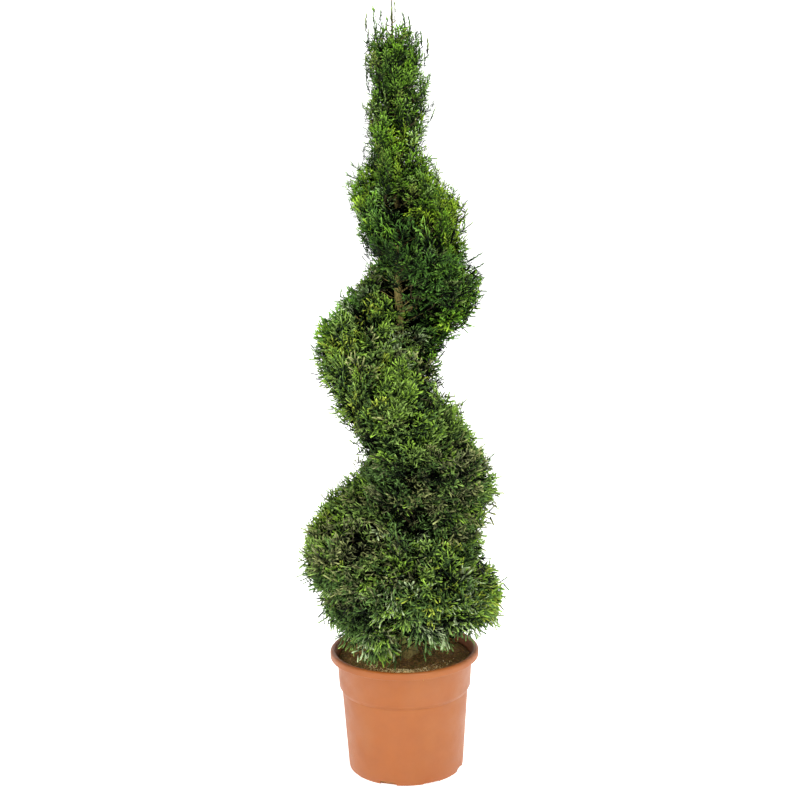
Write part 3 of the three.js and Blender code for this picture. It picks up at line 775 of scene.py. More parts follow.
def make_soil():
    segments, rings = 144, 46
    turns = np.arange(segments) * TAU / segments
    radii = SOIL_EDGE_RADIUS * (np.arange(1, rings + 1) / rings) ** 0.8
    rows = []
    for radius in reversed(radii):
        x, y = radius * np.cos(turns), radius * np.sin(turns)
        rows.append(np.stack([x, y, soil_height(x, y)], -1))
    step_foot = STEP_HEIGHT - STEP_DROP
    wall = [(BODY_TOP_RADIUS, step_foot), (BASE_RADIUS, POT_FLOOR + 1 * MM)]
    under = [polar(turns, (radius - WALL - 0.4 * MM) * np.ones(segments), z) for radius, z in wall]
    points = np.concatenate([*reversed(under), *rows, [[0, 0, SOIL_TOP]], [[0, 0, POT_FLOOR + 1 * MM]]])
    count = rings + len(under)
    faces = grid_faces(count, segments)
    top, bottom = count * segments, count * segments + 1
    for j in range(segments):
        after = (j + 1) % segments
        faces.append((top, (count - 1) * segments + j, (count - 1) * segments + after))
        faces.append((bottom, after, j))
    piece = new_object("compost", smooth_mesh("compost", points, faces))
    piece.data.materials.append(soil_finish("compost", (142, 106, 66), (122, 108, 60), 0.52, 26.0))
    return settle(piece, ["soil"])


CRUMB_KINDS = 4


def crumb_shapes(random):
    """Small lumps: icosahedra with their corners pulled in unevenly."""
    meshes = []
    golden = (1 + 5**0.5) / 2
    corners = [(0, s, t * golden) for s in (-1, 1) for t in (-1, 1)]
    corners += [(s, t * golden, 0) for s in (-1, 1) for t in (-1, 1)]
    corners += [(t * golden, 0, s) for s in (-1, 1) for t in (-1, 1)]
    corners = unit(np.array(corners, float))
    corner_gap = math.radians(63.44)  # the angle between neighbouring corners
    nearest = 2 * np.sin(corner_gap / 2) + 0.01
    faces = []
    for i in range(12):
        for j in range(i + 1, 12):
            for k in range(j + 1, 12):
                sides = [np.linalg.norm(corners[a] - corners[b]) for a, b in ((i, j), (j, k), (k, i))]
                if max(sides) < nearest:
                    normal = np.cross(corners[j] - corners[i], corners[k] - corners[i])
                    faces.append((i, j, k) if normal @ corners[i] > 0 else (i, k, j))
    for _ in range(CRUMB_KINDS):
        lump = corners * random.uniform(0.32, 0.58, (12, 1)) * (1, 0.8, 0.6)
        mesh = bpy.data.meshes.new("crumb")
        mesh.from_pydata(lump.tolist(), [], faces)
        meshes.append(mesh)
    return meshes


def soil_spots(random, count, middle, spread, inner, outer):
    """Spots on the soil between two radii, thicker towards one side, by angle."""
    angle = random.normal(middle, spread, count)
    radius = np.sqrt(random.uniform(inner**2, outer**2, count))
    x, y = radius * np.cos(angle), radius * np.sin(angle)
    return np.stack([x, y, soil_height(x, y)], -1)


def scatter(name, spots, sizes, kit, kinds, finish, random, flat=False):
    turns = random.uniform(-math.pi, math.pi, (len(spots), 3))
    if flat:
        turns[:, :2] = random.normal(0, 0.25, (len(spots), 2))
    base = point_mesh(name, spots, turn=turns, size=sizes, kind=kinds)
    return settle(grown(name, base, PLANT, Kit=kit, Finish=finish))


# What lies on the compost: how much, towards which side and how far round, between which radii and
# sizes in millimetres, and its two colours. A spread of nine radians is the same on every side.
ALL_ROUND = 9
FRONT_RIGHT = 0.1 - math.pi / 2
Cover = namedtuple("Cover", "name count facing spread inner outer least most first second")
COVERS = [
    Cover("compost_crumbs", 2600, 0, ALL_ROUND, 22, 120, 1.2, 4.8, (104, 74, 46), (150, 114, 74)),
    Cover("pale_grit", 700, FRONT_RIGHT, 0.42, 78, 98, 1.2, 4.2, (246, 216, 150), (254, 238, 190)),
    Cover("moss_tufts", 1500, 0, ALL_ROUND, 22, 120, 1.2, 3.4, (112, 106, 48), (142, 130, 62)),
]
NEEDLES = 900


def make_ground_cover(random):
    """Crumbs of compost, pale grit towards the front, moss, and needles shed by the plant."""
    crumbs = make_kit("crumb", crumb_shapes(random))
    for cover in COVERS:
        inner, outer = cover.inner * MM, cover.outer * MM
        spots = soil_spots(random, cover.count, cover.facing, cover.spread, inner, outer)
        sizes = random.uniform(cover.least, cover.most, (cover.count, 1)) * np.ones(3) * MM
        kinds = random.integers(0, CRUMB_KINDS, cover.count)
        finish = soil_finish(cover.name, cover.first, cover.second)
        scatter(cover.name, spots, sizes, crumbs, kinds, finish, random)
    clear_kit(crumbs)
    litter = make_kit("shed_finger", [finger_mesh("shed_finger")])
    spots = soil_spots(random, NEEDLES, 0, ALL_ROUND, 26 * MM, 120 * MM) + (0, 0, 1 * MM)
    lengths, widths = random.uniform(6, 16, NEEDLES), random.uniform(1, 2.6, NEEDLES)
    sizes = np.stack([lengths, widths, np.full(NEEDLES, 2.0)], -1) * MM
    finish = leaf_finish("shed_needles", (134, 96, 52), (184, 146, 84))
    scatter("shed_needles", spots, sizes, litter, np.zeros(NEEDLES, int), finish, random, flat=True)
    clear_kit(litter)


# ---- trunk and boughs with bark ----


BARK_RIDGES = 9
BARK_DEPTH = 0.07  # of the limb's radius


def bark_limb(name, path, radii, sides, seed, lobes=None):
    """A limb whose bark stands in long broken ridges. Both ends are closed."""
    path = np.asarray(path, float)
    rows = len(path)
    tangent = unit(np.gradient(path, axis=0))
    level = np.array([0, 0, 1.0]) if abs(tangent[rows // 2, 2]) < 0.8 else np.array([1.0, 0, 0])
    across = unit(np.cross(tangent, level))
    over = np.cross(across, tangent)
    turns = np.arange(sides) * TAU / sides
    length = np.concatenate([[0], np.cumsum(np.linalg.norm(np.diff(path, axis=0), axis=1))])
    shell = np.stack(
        np.broadcast_arrays(
            np.cos(turns)[None, :] * BARK_RIDGES / TAU,
            np.sin(turns)[None, :] * BARK_RIDGES / TAU,
            (length / (40 * MM))[:, None],
        ),
        -1,
    ).reshape(-1, 3)
    relief = cloud_noise(shell, 0.5, seed) * 0.7 + cloud_noise(shell, 0.2, seed + 1) * 0.3
    relief = relief.reshape(rows, sides)
    scale = 1 + relief * BARK_DEPTH * 2
    if lobes is not None:
        scale = scale * lobes(path[:, 2][:, None], turns[None, :])
    radius = radii[:, None] * scale
    ring = (
        path[:, None, :]
        + across[:, None, :] * (radius * np.cos(turns))[..., None]
        + over[:, None, :] * (radius * np.sin(turns))[..., None]
    )
    points = np.concatenate([ring.reshape(-1, 3), path[:1], path[-1:]])
    faces = [tuple(reversed(face)) for face in grid_faces(rows, sides)]
    first, last = rows * sides, rows * sides + 1
    for j in range(sides):
        after = (j + 1) % sides
        faces.append((first, j, after))
        faces.append((last, (rows - 1) * sides + after, (rows - 1) * sides + j))
    return new_object(name, outward(smooth_mesh(name, points, faces)))


def outward(mesh):
    """Turns a closed mesh's faces out if they point in."""
    centre = sum((v.co for v in mesh.vertices), Vector()) / len(mesh.vertices)
    balance = sum((p.center - centre).dot(p.normal) * p.area for p in mesh.polygons)
    if balance < 0:
        mesh.flip_normals()
    return mesh


def make_trunk(finish):
    heights = np.concatenate(
        [TRUNK_FOOT + np.linspace(0, 30 * MM, 12)[:-1], np.linspace(TRUNK_FOOT + 30 * MM, TRUNK_TIP, 330)]
    )

    def rooted(z, turns):
        return 1 + 0.2 * np.exp(-np.maximum(z - TRUNK_FOOT, 0) / FLARE_HEIGHT) * np.cos(4 * turns + 1)

    piece = bark_limb("bark_trunk", trunk_centre(heights), trunk_radius(heights), 28, 11, lobes=rooted)
    height = np.array([v.co.z for v in piece.data.vertices])
    add_attribute(piece.data, "young", np.clip((height - YOUNG_ABOVE) / (TRUNK_TIP - YOUNG_ABOVE) * 2, 0, 1))
    piece.data.materials.append(finish)
    return settle(piece, ["trunk"])


# The boughs end where the model's cores of foliage begin, under the clipped outline. The shares are of
# the reach of the ridge that a bough carries.
CORE_SHARE = 0.86
CORE_SETBACK = 12 * MM
CORE_DEPTH = 0.152
BOUGH_RADIUS = 0.034
THINNEST_BOUGH = 2.6 * MM


def main_boughs():
    """The fourteen boughs that the model names: where each starts, its reach and its radius."""
    boughs = []
    for i in range(BOUGHS):
        turn = FIRST_TURN + i / 2 + 0.25
        top = float(ridge_height(turn))
        reach = float(ridge_value(turn, "reach"))
        outer = float(crown_radius(np.float64(-turn * math.pi), np.float64(top)))
        outer *= CORE_SHARE - CORE_SETBACK / reach
        radius = max(THINNEST_BOUGH, BOUGH_RADIUS * reach)
        name = f"bough_{i // 4 + 1}_{QUARTERS[i % 4]}"
        boughs.append((name, turn, top, outer - CORE_DEPTH * reach, radius))
    return boughs


def make_boughs(finish):
    paths = []
    for i, (name, turn, top, reach, radius) in enumerate(main_boughs()):
        path = limb_path(turn, top, reach, steps=70)
        radii = radius * np.linspace(1, 0.5, len(path))
        piece = bark_limb(f"bark_{name}", path, radii, 14, 20 + i)
        piece.data.materials.append(finish)
        settle(piece, [name])
        paths.append((path[::6], radii[::6]))
    return paths


# ---- finer limbs and twigs ----


def finer_limbs(random):
    """More limbs by the boughs' rule, closer together up the trunk, to every part of the crown."""
    limbs = []
    for i in range(FINER_LIMBS):
        angle = i * math.pi * (3 - 5**0.5)
        z = CROWN_FOOT + (CROWN_TOP - CROWN_FOOT) * ((i + 0.5) / FINER_LIMBS) + 10 * MM
        outline = float(crown_radius(np.float64(angle), np.float64(z)))
        reach = outline * random.uniform(0.5, 0.72)
        path = limb_path(-angle / math.pi, z, reach, steps=8)
        wander = random.normal(0, 1, (3, 3)) * 0.035 * reach
        bends = np.sin(np.linspace(0, math.pi, len(path)))[:, None] * wander[0]
        path = path + bends + np.sin(np.linspace(0, 3 * math.pi, len(path)))[:, None] * wander[1] * 0.6
        radius = np.clip(0.022 * reach, 1 * MM, 3 * MM)
        limbs.append((path, radius * np.linspace(1, 0.45, len(path))))
    return limbs


def line_mesh(name, lines):
    """A mesh of separate lines from (points, radii) pairs, for the limb tree."""
    points = np.concatenate([path for path, _ in lines])
    thick = np.concatenate([radii for _, radii in lines])
    edges = []
    start = 0
    for path, _ in lines:
        edges += [(start + i, start + i + 1) for i in range(len(path) - 1)]
        start += len(path)
    return point_mesh(name, points, edges, thick=thick)


def make_limbs(name, lines, sides, finish):
    return settle(grown(name, line_mesh(name, lines), SWEEP, Sides=sides, Finish=finish))


def nearest_limb(roots, along, limb_points):
    """For each spray's root, the limb point that a twig would best come from: near, and behind it."""
    found = np.empty(len(roots), int)
    reach = np.linalg.norm(limb_points[:, :2], axis=1)
    at_once = 800
    for start in range(0, len(roots), at_once):
        chunk = slice(start, start + at_once)
        gap = roots[chunk, None, :] - limb_points[None, :, :]
        distance = np.linalg.norm(gap, axis=-1)
        behind = np.einsum("ijk,ik->ij", gap, along[chunk]) / np.maximum(distance, 1e-6)
        outside = np.maximum(reach[None, :] - np.linalg.norm(roots[chunk, :2], axis=1)[:, None], 0)
        cost = distance * (1.4 - 0.6 * behind) + 1.5 * outside
        found[chunk] = np.argmin(cost, axis=1)
    return found


def twigs_to(roots, along, limb_points, thick):
    """A twig to each spray, from the limb behind it, arriving in the spray's own direction."""
    sources = limb_points[nearest_limb(roots, along, limb_points)]
    length = np.linalg.norm(roots - sources, axis=1)[:, None]
    bend = (sources + roots) / 2 - along * 0.12 * length
    taper = np.array([1.0, 0.75, 0.55]) * thick
    return [(np.stack([a, b, c]), taper) for a, b, c in zip(sources, bend, roots)]


# ---- sprays ----


def finger_mesh(name):
    """One finger of scale leaves along +X: a blunt strap, folded a little down its middle."""
    left = [(0.15, 0.42, -0.34), (0.88, 0.5, -0.4)]
    right = [(x, -y, z) for x, y, z in reversed(left)]
    points = [(0, 0, 0), *left, (1, 0, 0), *right]
    mesh = bpy.data.meshes.new(name)
    mesh.from_pydata(points, [], [(0, 3, 2, 1), (0, 5, 4, 3)])
    add_attribute(mesh, "tip", np.array([p[0] for p in points]))
    return mesh


Fan = namedtuple("Fan", "pairs forks fork_turn spread lean finger width curl sweep")


def fan_fingers(fan, random):
    """Where a fan's fingers stand, in shares of its length: start, heading, length and width."""
    fingers = [(0, 0, 0, 0.5, fan.width * 0.8), (0.44, 0, 0, 0.38, fan.width * 0.9)]
    for heading, length in ((0, 0.24), (fan.lean, 0.18), (-fan.lean * 0.9, 0.16)):
        fingers.append((0.76, 0, heading + random.normal(0, 0.12), length, fan.width))
    shoots = fan.pairs * 2
    for i in range(shoots):
        share = i / (shoots - 1)
        start = 0.1 + 0.56 * share
        side = 1 if i % 2 else -1
        fullness = 0.7 + 0.8 * share if share < 0.4 else 1.3 - 0.6 * share
        reach = fan.spread * fullness * random.uniform(0.8, 1.2)
        heading = fan.lean * (1.1 - 0.3 * share) + random.normal(0, 0.12)
        fingers.append((start, 0, side * heading, reach, fan.width * 0.95))
        for fork, where in enumerate(fan.forks):
            x = start + where * reach * math.cos(heading)
            y = side * where * reach * math.sin(heading)
            fork_side = -1 if fork % 2 else 1
            length = fan.finger * (1.2 - 0.5 * where) * random.uniform(0.7, 1.3)
            turned = heading + fork_side * random.uniform(0.5, 0.9) * fan.fork_turn
            length = min(length, (1.02 - x) / max(math.cos(turned), 0.2))
            fingers.append((x, y, side * turned, length, fan.width))
    return np.array(fingers)


def fan_mesh(name, fan, random, kit):
    """A flat fan planted with fingers, then curled, swept aside and bent here and there."""
    x, y, heading, length, width = fan_fingers(fan, random).T
    pitch = random.normal(0, 0.28, len(x))
    turn = np.stack([random.normal(0, 0.6, len(x)), pitch, heading], -1)
    size = np.stack([length, width, width], -1)
    spots = np.stack([x, y, random.normal(0, 0.01, len(x))], -1)
    base = point_mesh(name, spots, turn=turn, size=size, kind=np.zeros(len(x), int))
    piece = grown(name, base, PLANT, Kit=kit, Finish=None)
    mesh = piece.data
    bpy.data.objects.remove(piece)
    place = np.array([v.co for v in mesh.vertices])
    bends = [cloud_noise(place, 0.24, seed + len(x)) * 0.07 for seed in (1, 2)]
    out = place[:, 0].copy()
    place[:, 1] += fan.sweep * out**2 + bends[0]
    place[:, 2] += fan.curl * out**2 - 0.2 * place[:, 1] ** 2 + bends[1]
    mesh.vertices.foreach_set("co", place.ravel())
    # The tip value runs from the foot of the spray to its finger ends; the leaves' finish paints shade by it,
    # darkest at the foot.
    tips = np.empty(len(mesh.vertices))
    mesh.attributes["tip"].data.foreach_get("value", tips)
    mesh.attributes["tip"].data.foreach_set("value", np.clip(0.55 * tips + 0.45 * out, 0, 1))
    mesh.materials.clear()
    return mesh


FANS = [
    Fan(3, (0.34, 0.66), 1.2, spread=0.42, lean=0.85, finger=0.2, width=0.03, curl=0.16, sweep=0.16),
    Fan(3, (0.32, 0.7), 1.3, spread=0.38, lean=0.7, finger=0.21, width=0.029, curl=-0.2, sweep=-0.2),
    Fan(3, (0.3, 0.62), 1.3, spread=0.46, lean=0.95, finger=0.2, width=0.031, curl=0.26, sweep=0.1),
    Fan(3, (0.3, 0.52, 0.76), 1.1, spread=0.42, lean=0.78, finger=0.19, width=0.03, curl=-0.14, sweep=-0.12),
    Fan(3, (0.36, 0.66), 0.75, spread=0.4, lean=0.5, finger=0.25, width=0.025, curl=-0.16, sweep=0.12),
    Fan(3, (0.35, 0.65), 0.7, spread=0.36, lean=0.42, finger=0.28, width=0.025, curl=-0.24, sweep=-0.1),
    Fan(3, (0.3, 0.55, 0.8), 1.0, spread=0.32, lean=0.6, finger=0.16, width=0.03, curl=0.1, sweep=0.12),
    Fan(3, (0.35, 0.6, 0.82), 1.0, spread=0.28, lean=0.55, finger=0.17, width=0.03, curl=-0.1, sweep=-0.12),
    Fan(3, (0.45,), 1.0, spread=0.36, lean=0.7, finger=0.3, width=0.06, curl=0.1, sweep=0),
    Fan(3, (0.6,), 0.8, spread=0.14, lean=0.5, finger=0.1, width=0.05, curl=0.14, sweep=0.1),
]
BROAD_KINDS = (0, 1, 2, 3)
HANGING_KINDS = (4, 5)
UPRIGHT_KINDS = (6, 7)
INNER_KIND = 8

# Each tone's colour at the foot of a spray and at its finger ends. The near-black foot colours are painted
# shade, the shade deep among the sprays, and the pale finger ends are partly the ends' own paler green and
# partly painted highlight. "sunlit" is painted sunlight, and "shade", near black from foot to tip, is
# painted shade for sprays deep in the crown.
TONES = {
    "sunlit": ((30, 42, 10), (190, 210, 84)),
    "fresh": ((16, 36, 8), (152, 192, 74)),
    "leaf": ((10, 26, 8), (146, 178, 92)),
    "deep": ((8, 20, 8), (100, 134, 70)),
    "frosted": ((12, 26, 12), (188, 208, 162)),
    "olive": ((16, 22, 8), (168, 176, 116)),
    "dusky": ((10, 14, 8), (134, 142, 98)),
    "shade": ((4, 6, 4), (11, 17, 8)),
}
TONE_NAMES = list(TONES)

# Where the growth is brighter, greyer or darker: its turn and height in millimetres, how far it goes
# each way, how strongly, and the tones there. Part of this is the plant's own colour and part is painted
# light: the spots heavy in "deep", "dusky" and "shade" under overhanging masses are painted shade, and
# the "sunlit" spots on lit edges are painted sunlight.
Growth = namedtuple("Growth", "turn height turns rise strength tones")
GROWTH = [
    Growth(0.0, 350, 0.32, 60, 5, {"fresh": 5, "sunlit": 3, "leaf": 2}),
    Growth(0.5, 285, 1.6, 42, 6, {"frosted": 2, "leaf": 2, "deep": 7}),
    Growth(0.5, 380, 0.4, 50, 2, {"leaf": 4, "frosted": 3, "deep": 2, "fresh": 1}),
    Growth(1.0, 440, 0.16, 80, 3, {"fresh": 4, "leaf": 4, "sunlit": 1}),
    Growth(0.72, 470, 0.2, 60, 5, {"olive": 4, "dusky": 4, "leaf": 2}),
    Growth(0.46, 488, 0.08, 42, 14, {"fresh": 5, "leaf": 5}),
    Growth(2.0, 560, 0.14, 110, 3, {"fresh": 4, "leaf": 4, "olive": 1}),
    Growth(2.3, 560, 0.3, 70, 4, {"dusky": 4, "olive": 4, "deep": 3}),
    Growth(3.0, 790, 0.45, 90, 3, {"fresh": 5, "leaf": 4, "sunlit": 2}),
    Growth(2.45, 690, 0.3, 50, 3, {"leaf": 4, "fresh": 3, "olive": 2}),
    Growth(4.0, 915, 0.19, 130, 9, {"fresh": 5, "sunlit": 4, "leaf": 1}),
    Growth(4.4, 900, 0.3, 90, 3, {"deep": 5, "leaf": 3, "dusky": 1}),
    Growth(5.0, 1040, 0.5, 70, 2, {"leaf": 5, "deep": 3, "fresh": 1}),
    Growth(5.05, 1130, 0.4, 70, 12, {"fresh": 3, "frosted": 3, "sunlit": 5}),
    Growth(2.3, 840, 0.14, 45, 7, {"olive": 3, "frosted": 3, "dusky": 4}),
    # The next two are painted shade at the front right, under the masses above.
    Growth(4.39, 945, 0.15, 45, 12, {"deep": 4, "dusky": 3, "shade": 5}),
    Growth(4.3, 860, 0.12, 35, 10, {"deep": 5, "dusky": 3, "shade": 4}),
    Growth(7.5, 1257, 3.0, 28, 6, {"fresh": 5, "frosted": 3, "sunlit": 2}),
    Growth(5.1, 1178, 0.4, 40, 10, {"frosted": 4, "fresh": 4, "sunlit": 4}),
    Growth(5.9, 1112, 0.25, 50, 10, {"sunlit": 6, "frosted": 3}),
    Growth(2.42, 745, 0.1, 42, 8, {"fresh": 6, "leaf": 3}),
    # Painted shade at the front, high on the crown.
    Growth(4.55, 1045, 0.12, 40, 7, {"deep": 5, "shade": 4}),
    Growth(3.3, 950, 0.25, 45, 8, {"fresh": 4, "frosted": 3, "leaf": 3}),
    # Painted shade below the second mass.
    Growth(2.55, 615, 0.25, 36, 7, {"deep": 6, "dusky": 3, "shade": 1}),
    Growth(0.92, 372, 0.3, 45, 7, {"deep": 6, "leaf": 3, "dusky": 1}),
    # Painted shade on the lower front of the mass at turn 4.5.
    Growth(4.6, 1010, 0.36, 62, 8, {"deep": 7, "leaf": 2, "shade": 1}),
    Growth(0.85, 350, 0.35, 50, 6, {"deep": 6, "leaf": 3, "frosted": 1}),
    Growth(0.5, 335, 0.15, 30, 6, {"deep": 6, "leaf": 2, "dusky": 2}),
    Growth(0.16, 395, 0.22, 56, 12, {"frosted": 2, "leaf": 2, "fresh": 7, "sunlit": 3}),
    Growth(6.0, 1080, 0.3, 110, 9, {"fresh": 4, "sunlit": 5, "leaf": 1}),
    Growth(8.0, 1300, 4.0, 110, 3, {"leaf": 5, "fresh": 3, "deep": 7}),
]
# The crown in three tiers by turn: where each starts and ends, how much of a spray is dark with painted
# shade, its tint.
Tier = namedtuple("Tier", "name slot first last dark_share tint")
TIERS = [
    Tier("lower", "foliage", -9, 3, 0.45, (1, 1, 0.96)),
    Tier("upper", "foliage_top", 3, 5.4, 0.44, (0.86, 0.97, 0.75)),
    Tier("top", "foliage_top", 5.4, 99, 0.45, (0.87, 0.96, 0.66)),
]
COMMON = {"leaf": 4, "deep": 3, "fresh": 2, "olive": 1}  # the tones of the whole crown
COMMON_STRENGTH = 0.6
IN_GROOVE = {"dusky": 4, "deep": 6, "shade": 3}  # the tones in the shade of a groove

# Three layers of sprays: how many are tried, how far in the outermost tips stand, how much deeper the
# rest stand on average, the size against the outer layer's, the seed, and how loosely the sprays lean.
OUTER = (5600, 0, 9 * MM, 1.0, 41, 0.3)
INNER = (2600, 26 * MM, 26 * MM, 0.85, 42, 0.5)
RAGGED = (1500, -9 * MM, 5 * MM, 0.8, 43, 0.4)
RAGGED_ABOVE = 880 * MM  # the ragged layer grows above this height only
RAGGED_SHARE = 0.6  # of the ragged sprays, this many are kept
CLUMP = 55 * MM  # neighbours within this distance lean alike
TUFT_RELIEF = 14 * MM
FAN_HALF_WIDTH = 14 * MM
OVERGROWTH = 13 * MM  # how far a spray may stand past the clipped outline
ROOM = 10 * MM  # how far it may stand past the model's box
SHORTEST = 17 * MM
ROOT_COVER = 12 * MM  # how deep under the outline roots lie, below the ragged growth
GROOVE_GAPS = 0.35  # the share of sprays missing in the deepest groove, below GAPS_BELOW
GAPS_BELOW = 800 * MM
DUSK_DEPTH = 30 * MM  # tips deeper in the crown than this take the dark "deep" tone, painted shade
SHADE_DEPTH = 40 * MM  # and deeper than this the near-black "shade" tone, painted full shade, above SHADE_ABOVE
SHADE_ABOVE = 310 * MM

# What changes up the crown: heights in metres, and the value at each of them.
LIFT = ((0.25, 0.30, 0.40, 0.9, 1.1, 1.3), (-1.1, -0.4, 0.5, 0.8, 1.8, 3.2))
SPRAY_LENGTH = ((0.25, 0.33, 0.5, 1.0, 1.38), (0.098, 0.09, 0.078, 0.072, 0.066))
HANGING_SHARE = ((0.28, 0.34, 0.5), (0.95, 0.3, 0))
UPRIGHT_SHARE = ((0.9, 1.12), (0.1, 1))
GROOVE_TONES = ((0.75, 0.85), (1, 0.45))
DEPTH_FELT = ((0.9, 1.1), (1, 0.5))
KEPT_OUTER = ((0.95, 1.15), (1, 0.75))  # the share of the outer layer that stays
KEPT_OTHERS = ((0.95, 1.15), (1, 0.3))  # and of the two others

# Where the trunk shows at the front: the height, and how far up and down and to each side it shows.
TRUNK_WINDOWS = ((985 * MM, 70 * MM, 30 * MM), (1095 * MM, 30 * MM, 13 * MM))
WINDOW_CLEARING = 0.85  # the share of sprays missing there

# The lowest tips round the foot: their usual height, and which way, how wide and how much they differ.
HANG_HEIGHT = 278 * MM
HANGS = (
    (math.radians(-119), 0.2, -34 * MM),
    (math.radians(-96), 0.22, 54 * MM),
    (math.radians(-66), 0.25, 4 * MM),
    (math.radians(-35), 0.4, 18 * MM),
)

# Shoots past the clipped outline, in millimetres: the tip's place, the length, how upright, the fan.
Shoot = namedtuple("Shoot", "x y z length rise kind")
WISP = 9
SHOOT_TONES = {
    "wisp": ("deep", "olive", "leaf"),
    "hanging": ("frosted", "leaf", "deep", "deep"),
    "other": ("fresh", "leaf", "deep"),
}
SHOOTS = [
    Shoot(2, 0, 1434, 40, 900, WISP),
    Shoot(-3, 2, 1424, 44, 500, WISP),
    Shoot(-52, -4, 1417, 58, 330, WISP),
    Shoot(-34, 6, 1427, 58, 500, WISP),
    Shoot(-26, -6, 1424, 52, 500, WISP),
    Shoot(-11, 4, 1409, 50, 500, WISP),
    Shoot(22, -4, 1419, 60, 500, WISP),
    Shoot(31, 4, 1412, 56, 420, WISP),
    Shoot(53, -2, 1384, 54, 300, WISP),
    Shoot(66, 2, 1371, 58, 240, WISP),
    Shoot(-55, -6, 1345, 50, 260, WISP),
    Shoot(-53, 4, 1322, 46, 240, WISP),
    Shoot(74, 0, 1247, 44, 120, WISP),
    Shoot(-40, 2, 1396, 70, 300, 6),
    Shoot(-30, -10, 1402, 74, 300, 7),
    Shoot(-22, 8, 1400, 70, 400, 6),
    Shoot(-12, -10, 1398, 70, 400, 7),
    Shoot(6, -14, 1402, 74, 400, 6),
    Shoot(14, 4, 1400, 70, 400, 7),
    Shoot(28, -6, 1392, 70, 300, 6),
    Shoot(-48, -4, 1376, 66, 240, 7),
    Shoot(40, -2, 1376, 66, 240, 7),
    Shoot(-56, -8, 1296, 44, 90, WISP),
    Shoot(-60, 6, 1262, 42, 80, 7),
    Shoot(68, -6, 1305, 46, 90, WISP),
    Shoot(72, 8, 1262, 44, 80, 7),
    Shoot(-94, -10, 1138, 52, 50, 7),
    Shoot(-96, 4, 1120, 48, 30, 6),
    Shoot(-84, 6, 1156, 52, 70, 7),
    Shoot(-90, -12, 1092, 48, 30, 6),
    Shoot(-88, -6, 1072, 46, 20, 7),
    Shoot(120, -12, 1085, 56, 70, WISP),
    Shoot(132, 8, 1050, 52, 60, WISP),
    Shoot(156, -10, 985, 58, 60, WISP),
    Shoot(162, 4, 962, 54, 40, WISP),
    Shoot(20, -64, 846, 52, 50, 4),
    Shoot(34, -60, 838, 50, 36, 5),
    Shoot(46, -62, 854, 50, 50, 4),
    Shoot(16, -68, 866, 50, 60, 5),
    Shoot(32, -72, 872, 52, 70, 4),
    Shoot(54, -52, 842, 48, 40, 5),
    Shoot(24, -56, 828, 46, 30, 4),
    Shoot(44, -48, 868, 48, 60, 5),
    Shoot(60, -60, 866, 52, 60, 4),
    Shoot(-6, -62, 878, 50, 60, 5),
    Shoot(6, -64, 868, 50, 50, 4),
    Shoot(-2, -58, 856, 48, 40, 5),
    Shoot(10, -60, 884, 50, 60, 5),
    Shoot(-14, -60, 866, 50, 50, 4),
    Shoot(2, -66, 846, 50, 40, 4),
    Shoot(28, -96, 486, 60, 50, 5),
    Shoot(14, -104, 494, 60, 60, 4),
    Shoot(40, -98, 500, 62, 70, 5),
    Shoot(24, -100, 508, 60, 70, 4),
    Shoot(-70, -152, 450, 66, 30, 0),
    Shoot(-80, -146, 442, 62, 40, 2),
    Shoot(-62, -158, 458, 66, 50, 1),
    Shoot(-74, -148, 466, 64, 60, 3),
    Shoot(-66, -156, 436, 62, 20, 0),
]

# Tufts that hang over the soil: the way they face and how far apart, in degrees, the lowest tip in
# millimetres, and how many shoots.
Tuft = namedtuple("Tuft", "facing spread lowest count")
TUFTS = [
    Tuft(-123, 6, 240, 15),
    Tuft(-64, 7, 264, 9),
    Tuft(-148, 8, 268, 8),
    Tuft(-38, 7, 276, 5),
    Tuft(60, 40, 262, 24),
]

Sprays = namedtuple("Sprays", "root along across facing length width kind tone turn")


def growth_shares(turn, z, depth):
    """How much of each tone grows at each place; depth is how far into a groove it is."""
    shares = np.zeros((len(z), len(TONE_NAMES)))

    def add(tones, weight):
        total = sum(tones.values())
        for tone, share in tones.items():
            shares[:, TONE_NAMES.index(tone)] += weight * share / total

    add(COMMON, np.full(len(z), COMMON_STRENGTH))
    for spot in GROWTH:
        gap = ((turn - spot.turn) / spot.turns) ** 2 + ((z - spot.height * MM) / (spot.rise * MM)) ** 2
        add(spot.tones, spot.strength * np.exp(-gap))
    shares = shares / shares.sum(1, keepdims=True)
    groove = np.zeros_like(shares)
    for tone, share in IN_GROOVE.items():
        groove[:, TONE_NAMES.index(tone)] = share / sum(IN_GROOVE.values())
    in_groove = (depth * np.interp(z, *GROOVE_TONES))[:, None]
    return shares * (1 - in_groove) + groove * in_groove


def deal_tones(points, turn, z, depth, random):
    """Tones fall in small clusters: a smooth value picks the tone, roughened spray by spray."""
    shares = np.cumsum(growth_shares(turn, z, depth), axis=1)
    cluster = cloud_noise(points, 34 * MM, 8) * 0.9 + 0.5
    pick = np.clip(0.45 * cluster + 0.55 * random.random(len(z)), 0, 0.999)
    order = np.argsort(np.argsort(pick)) / len(pick)
    return np.minimum((shares < order[:, None]).sum(1), len(TONE_NAMES) - 1)


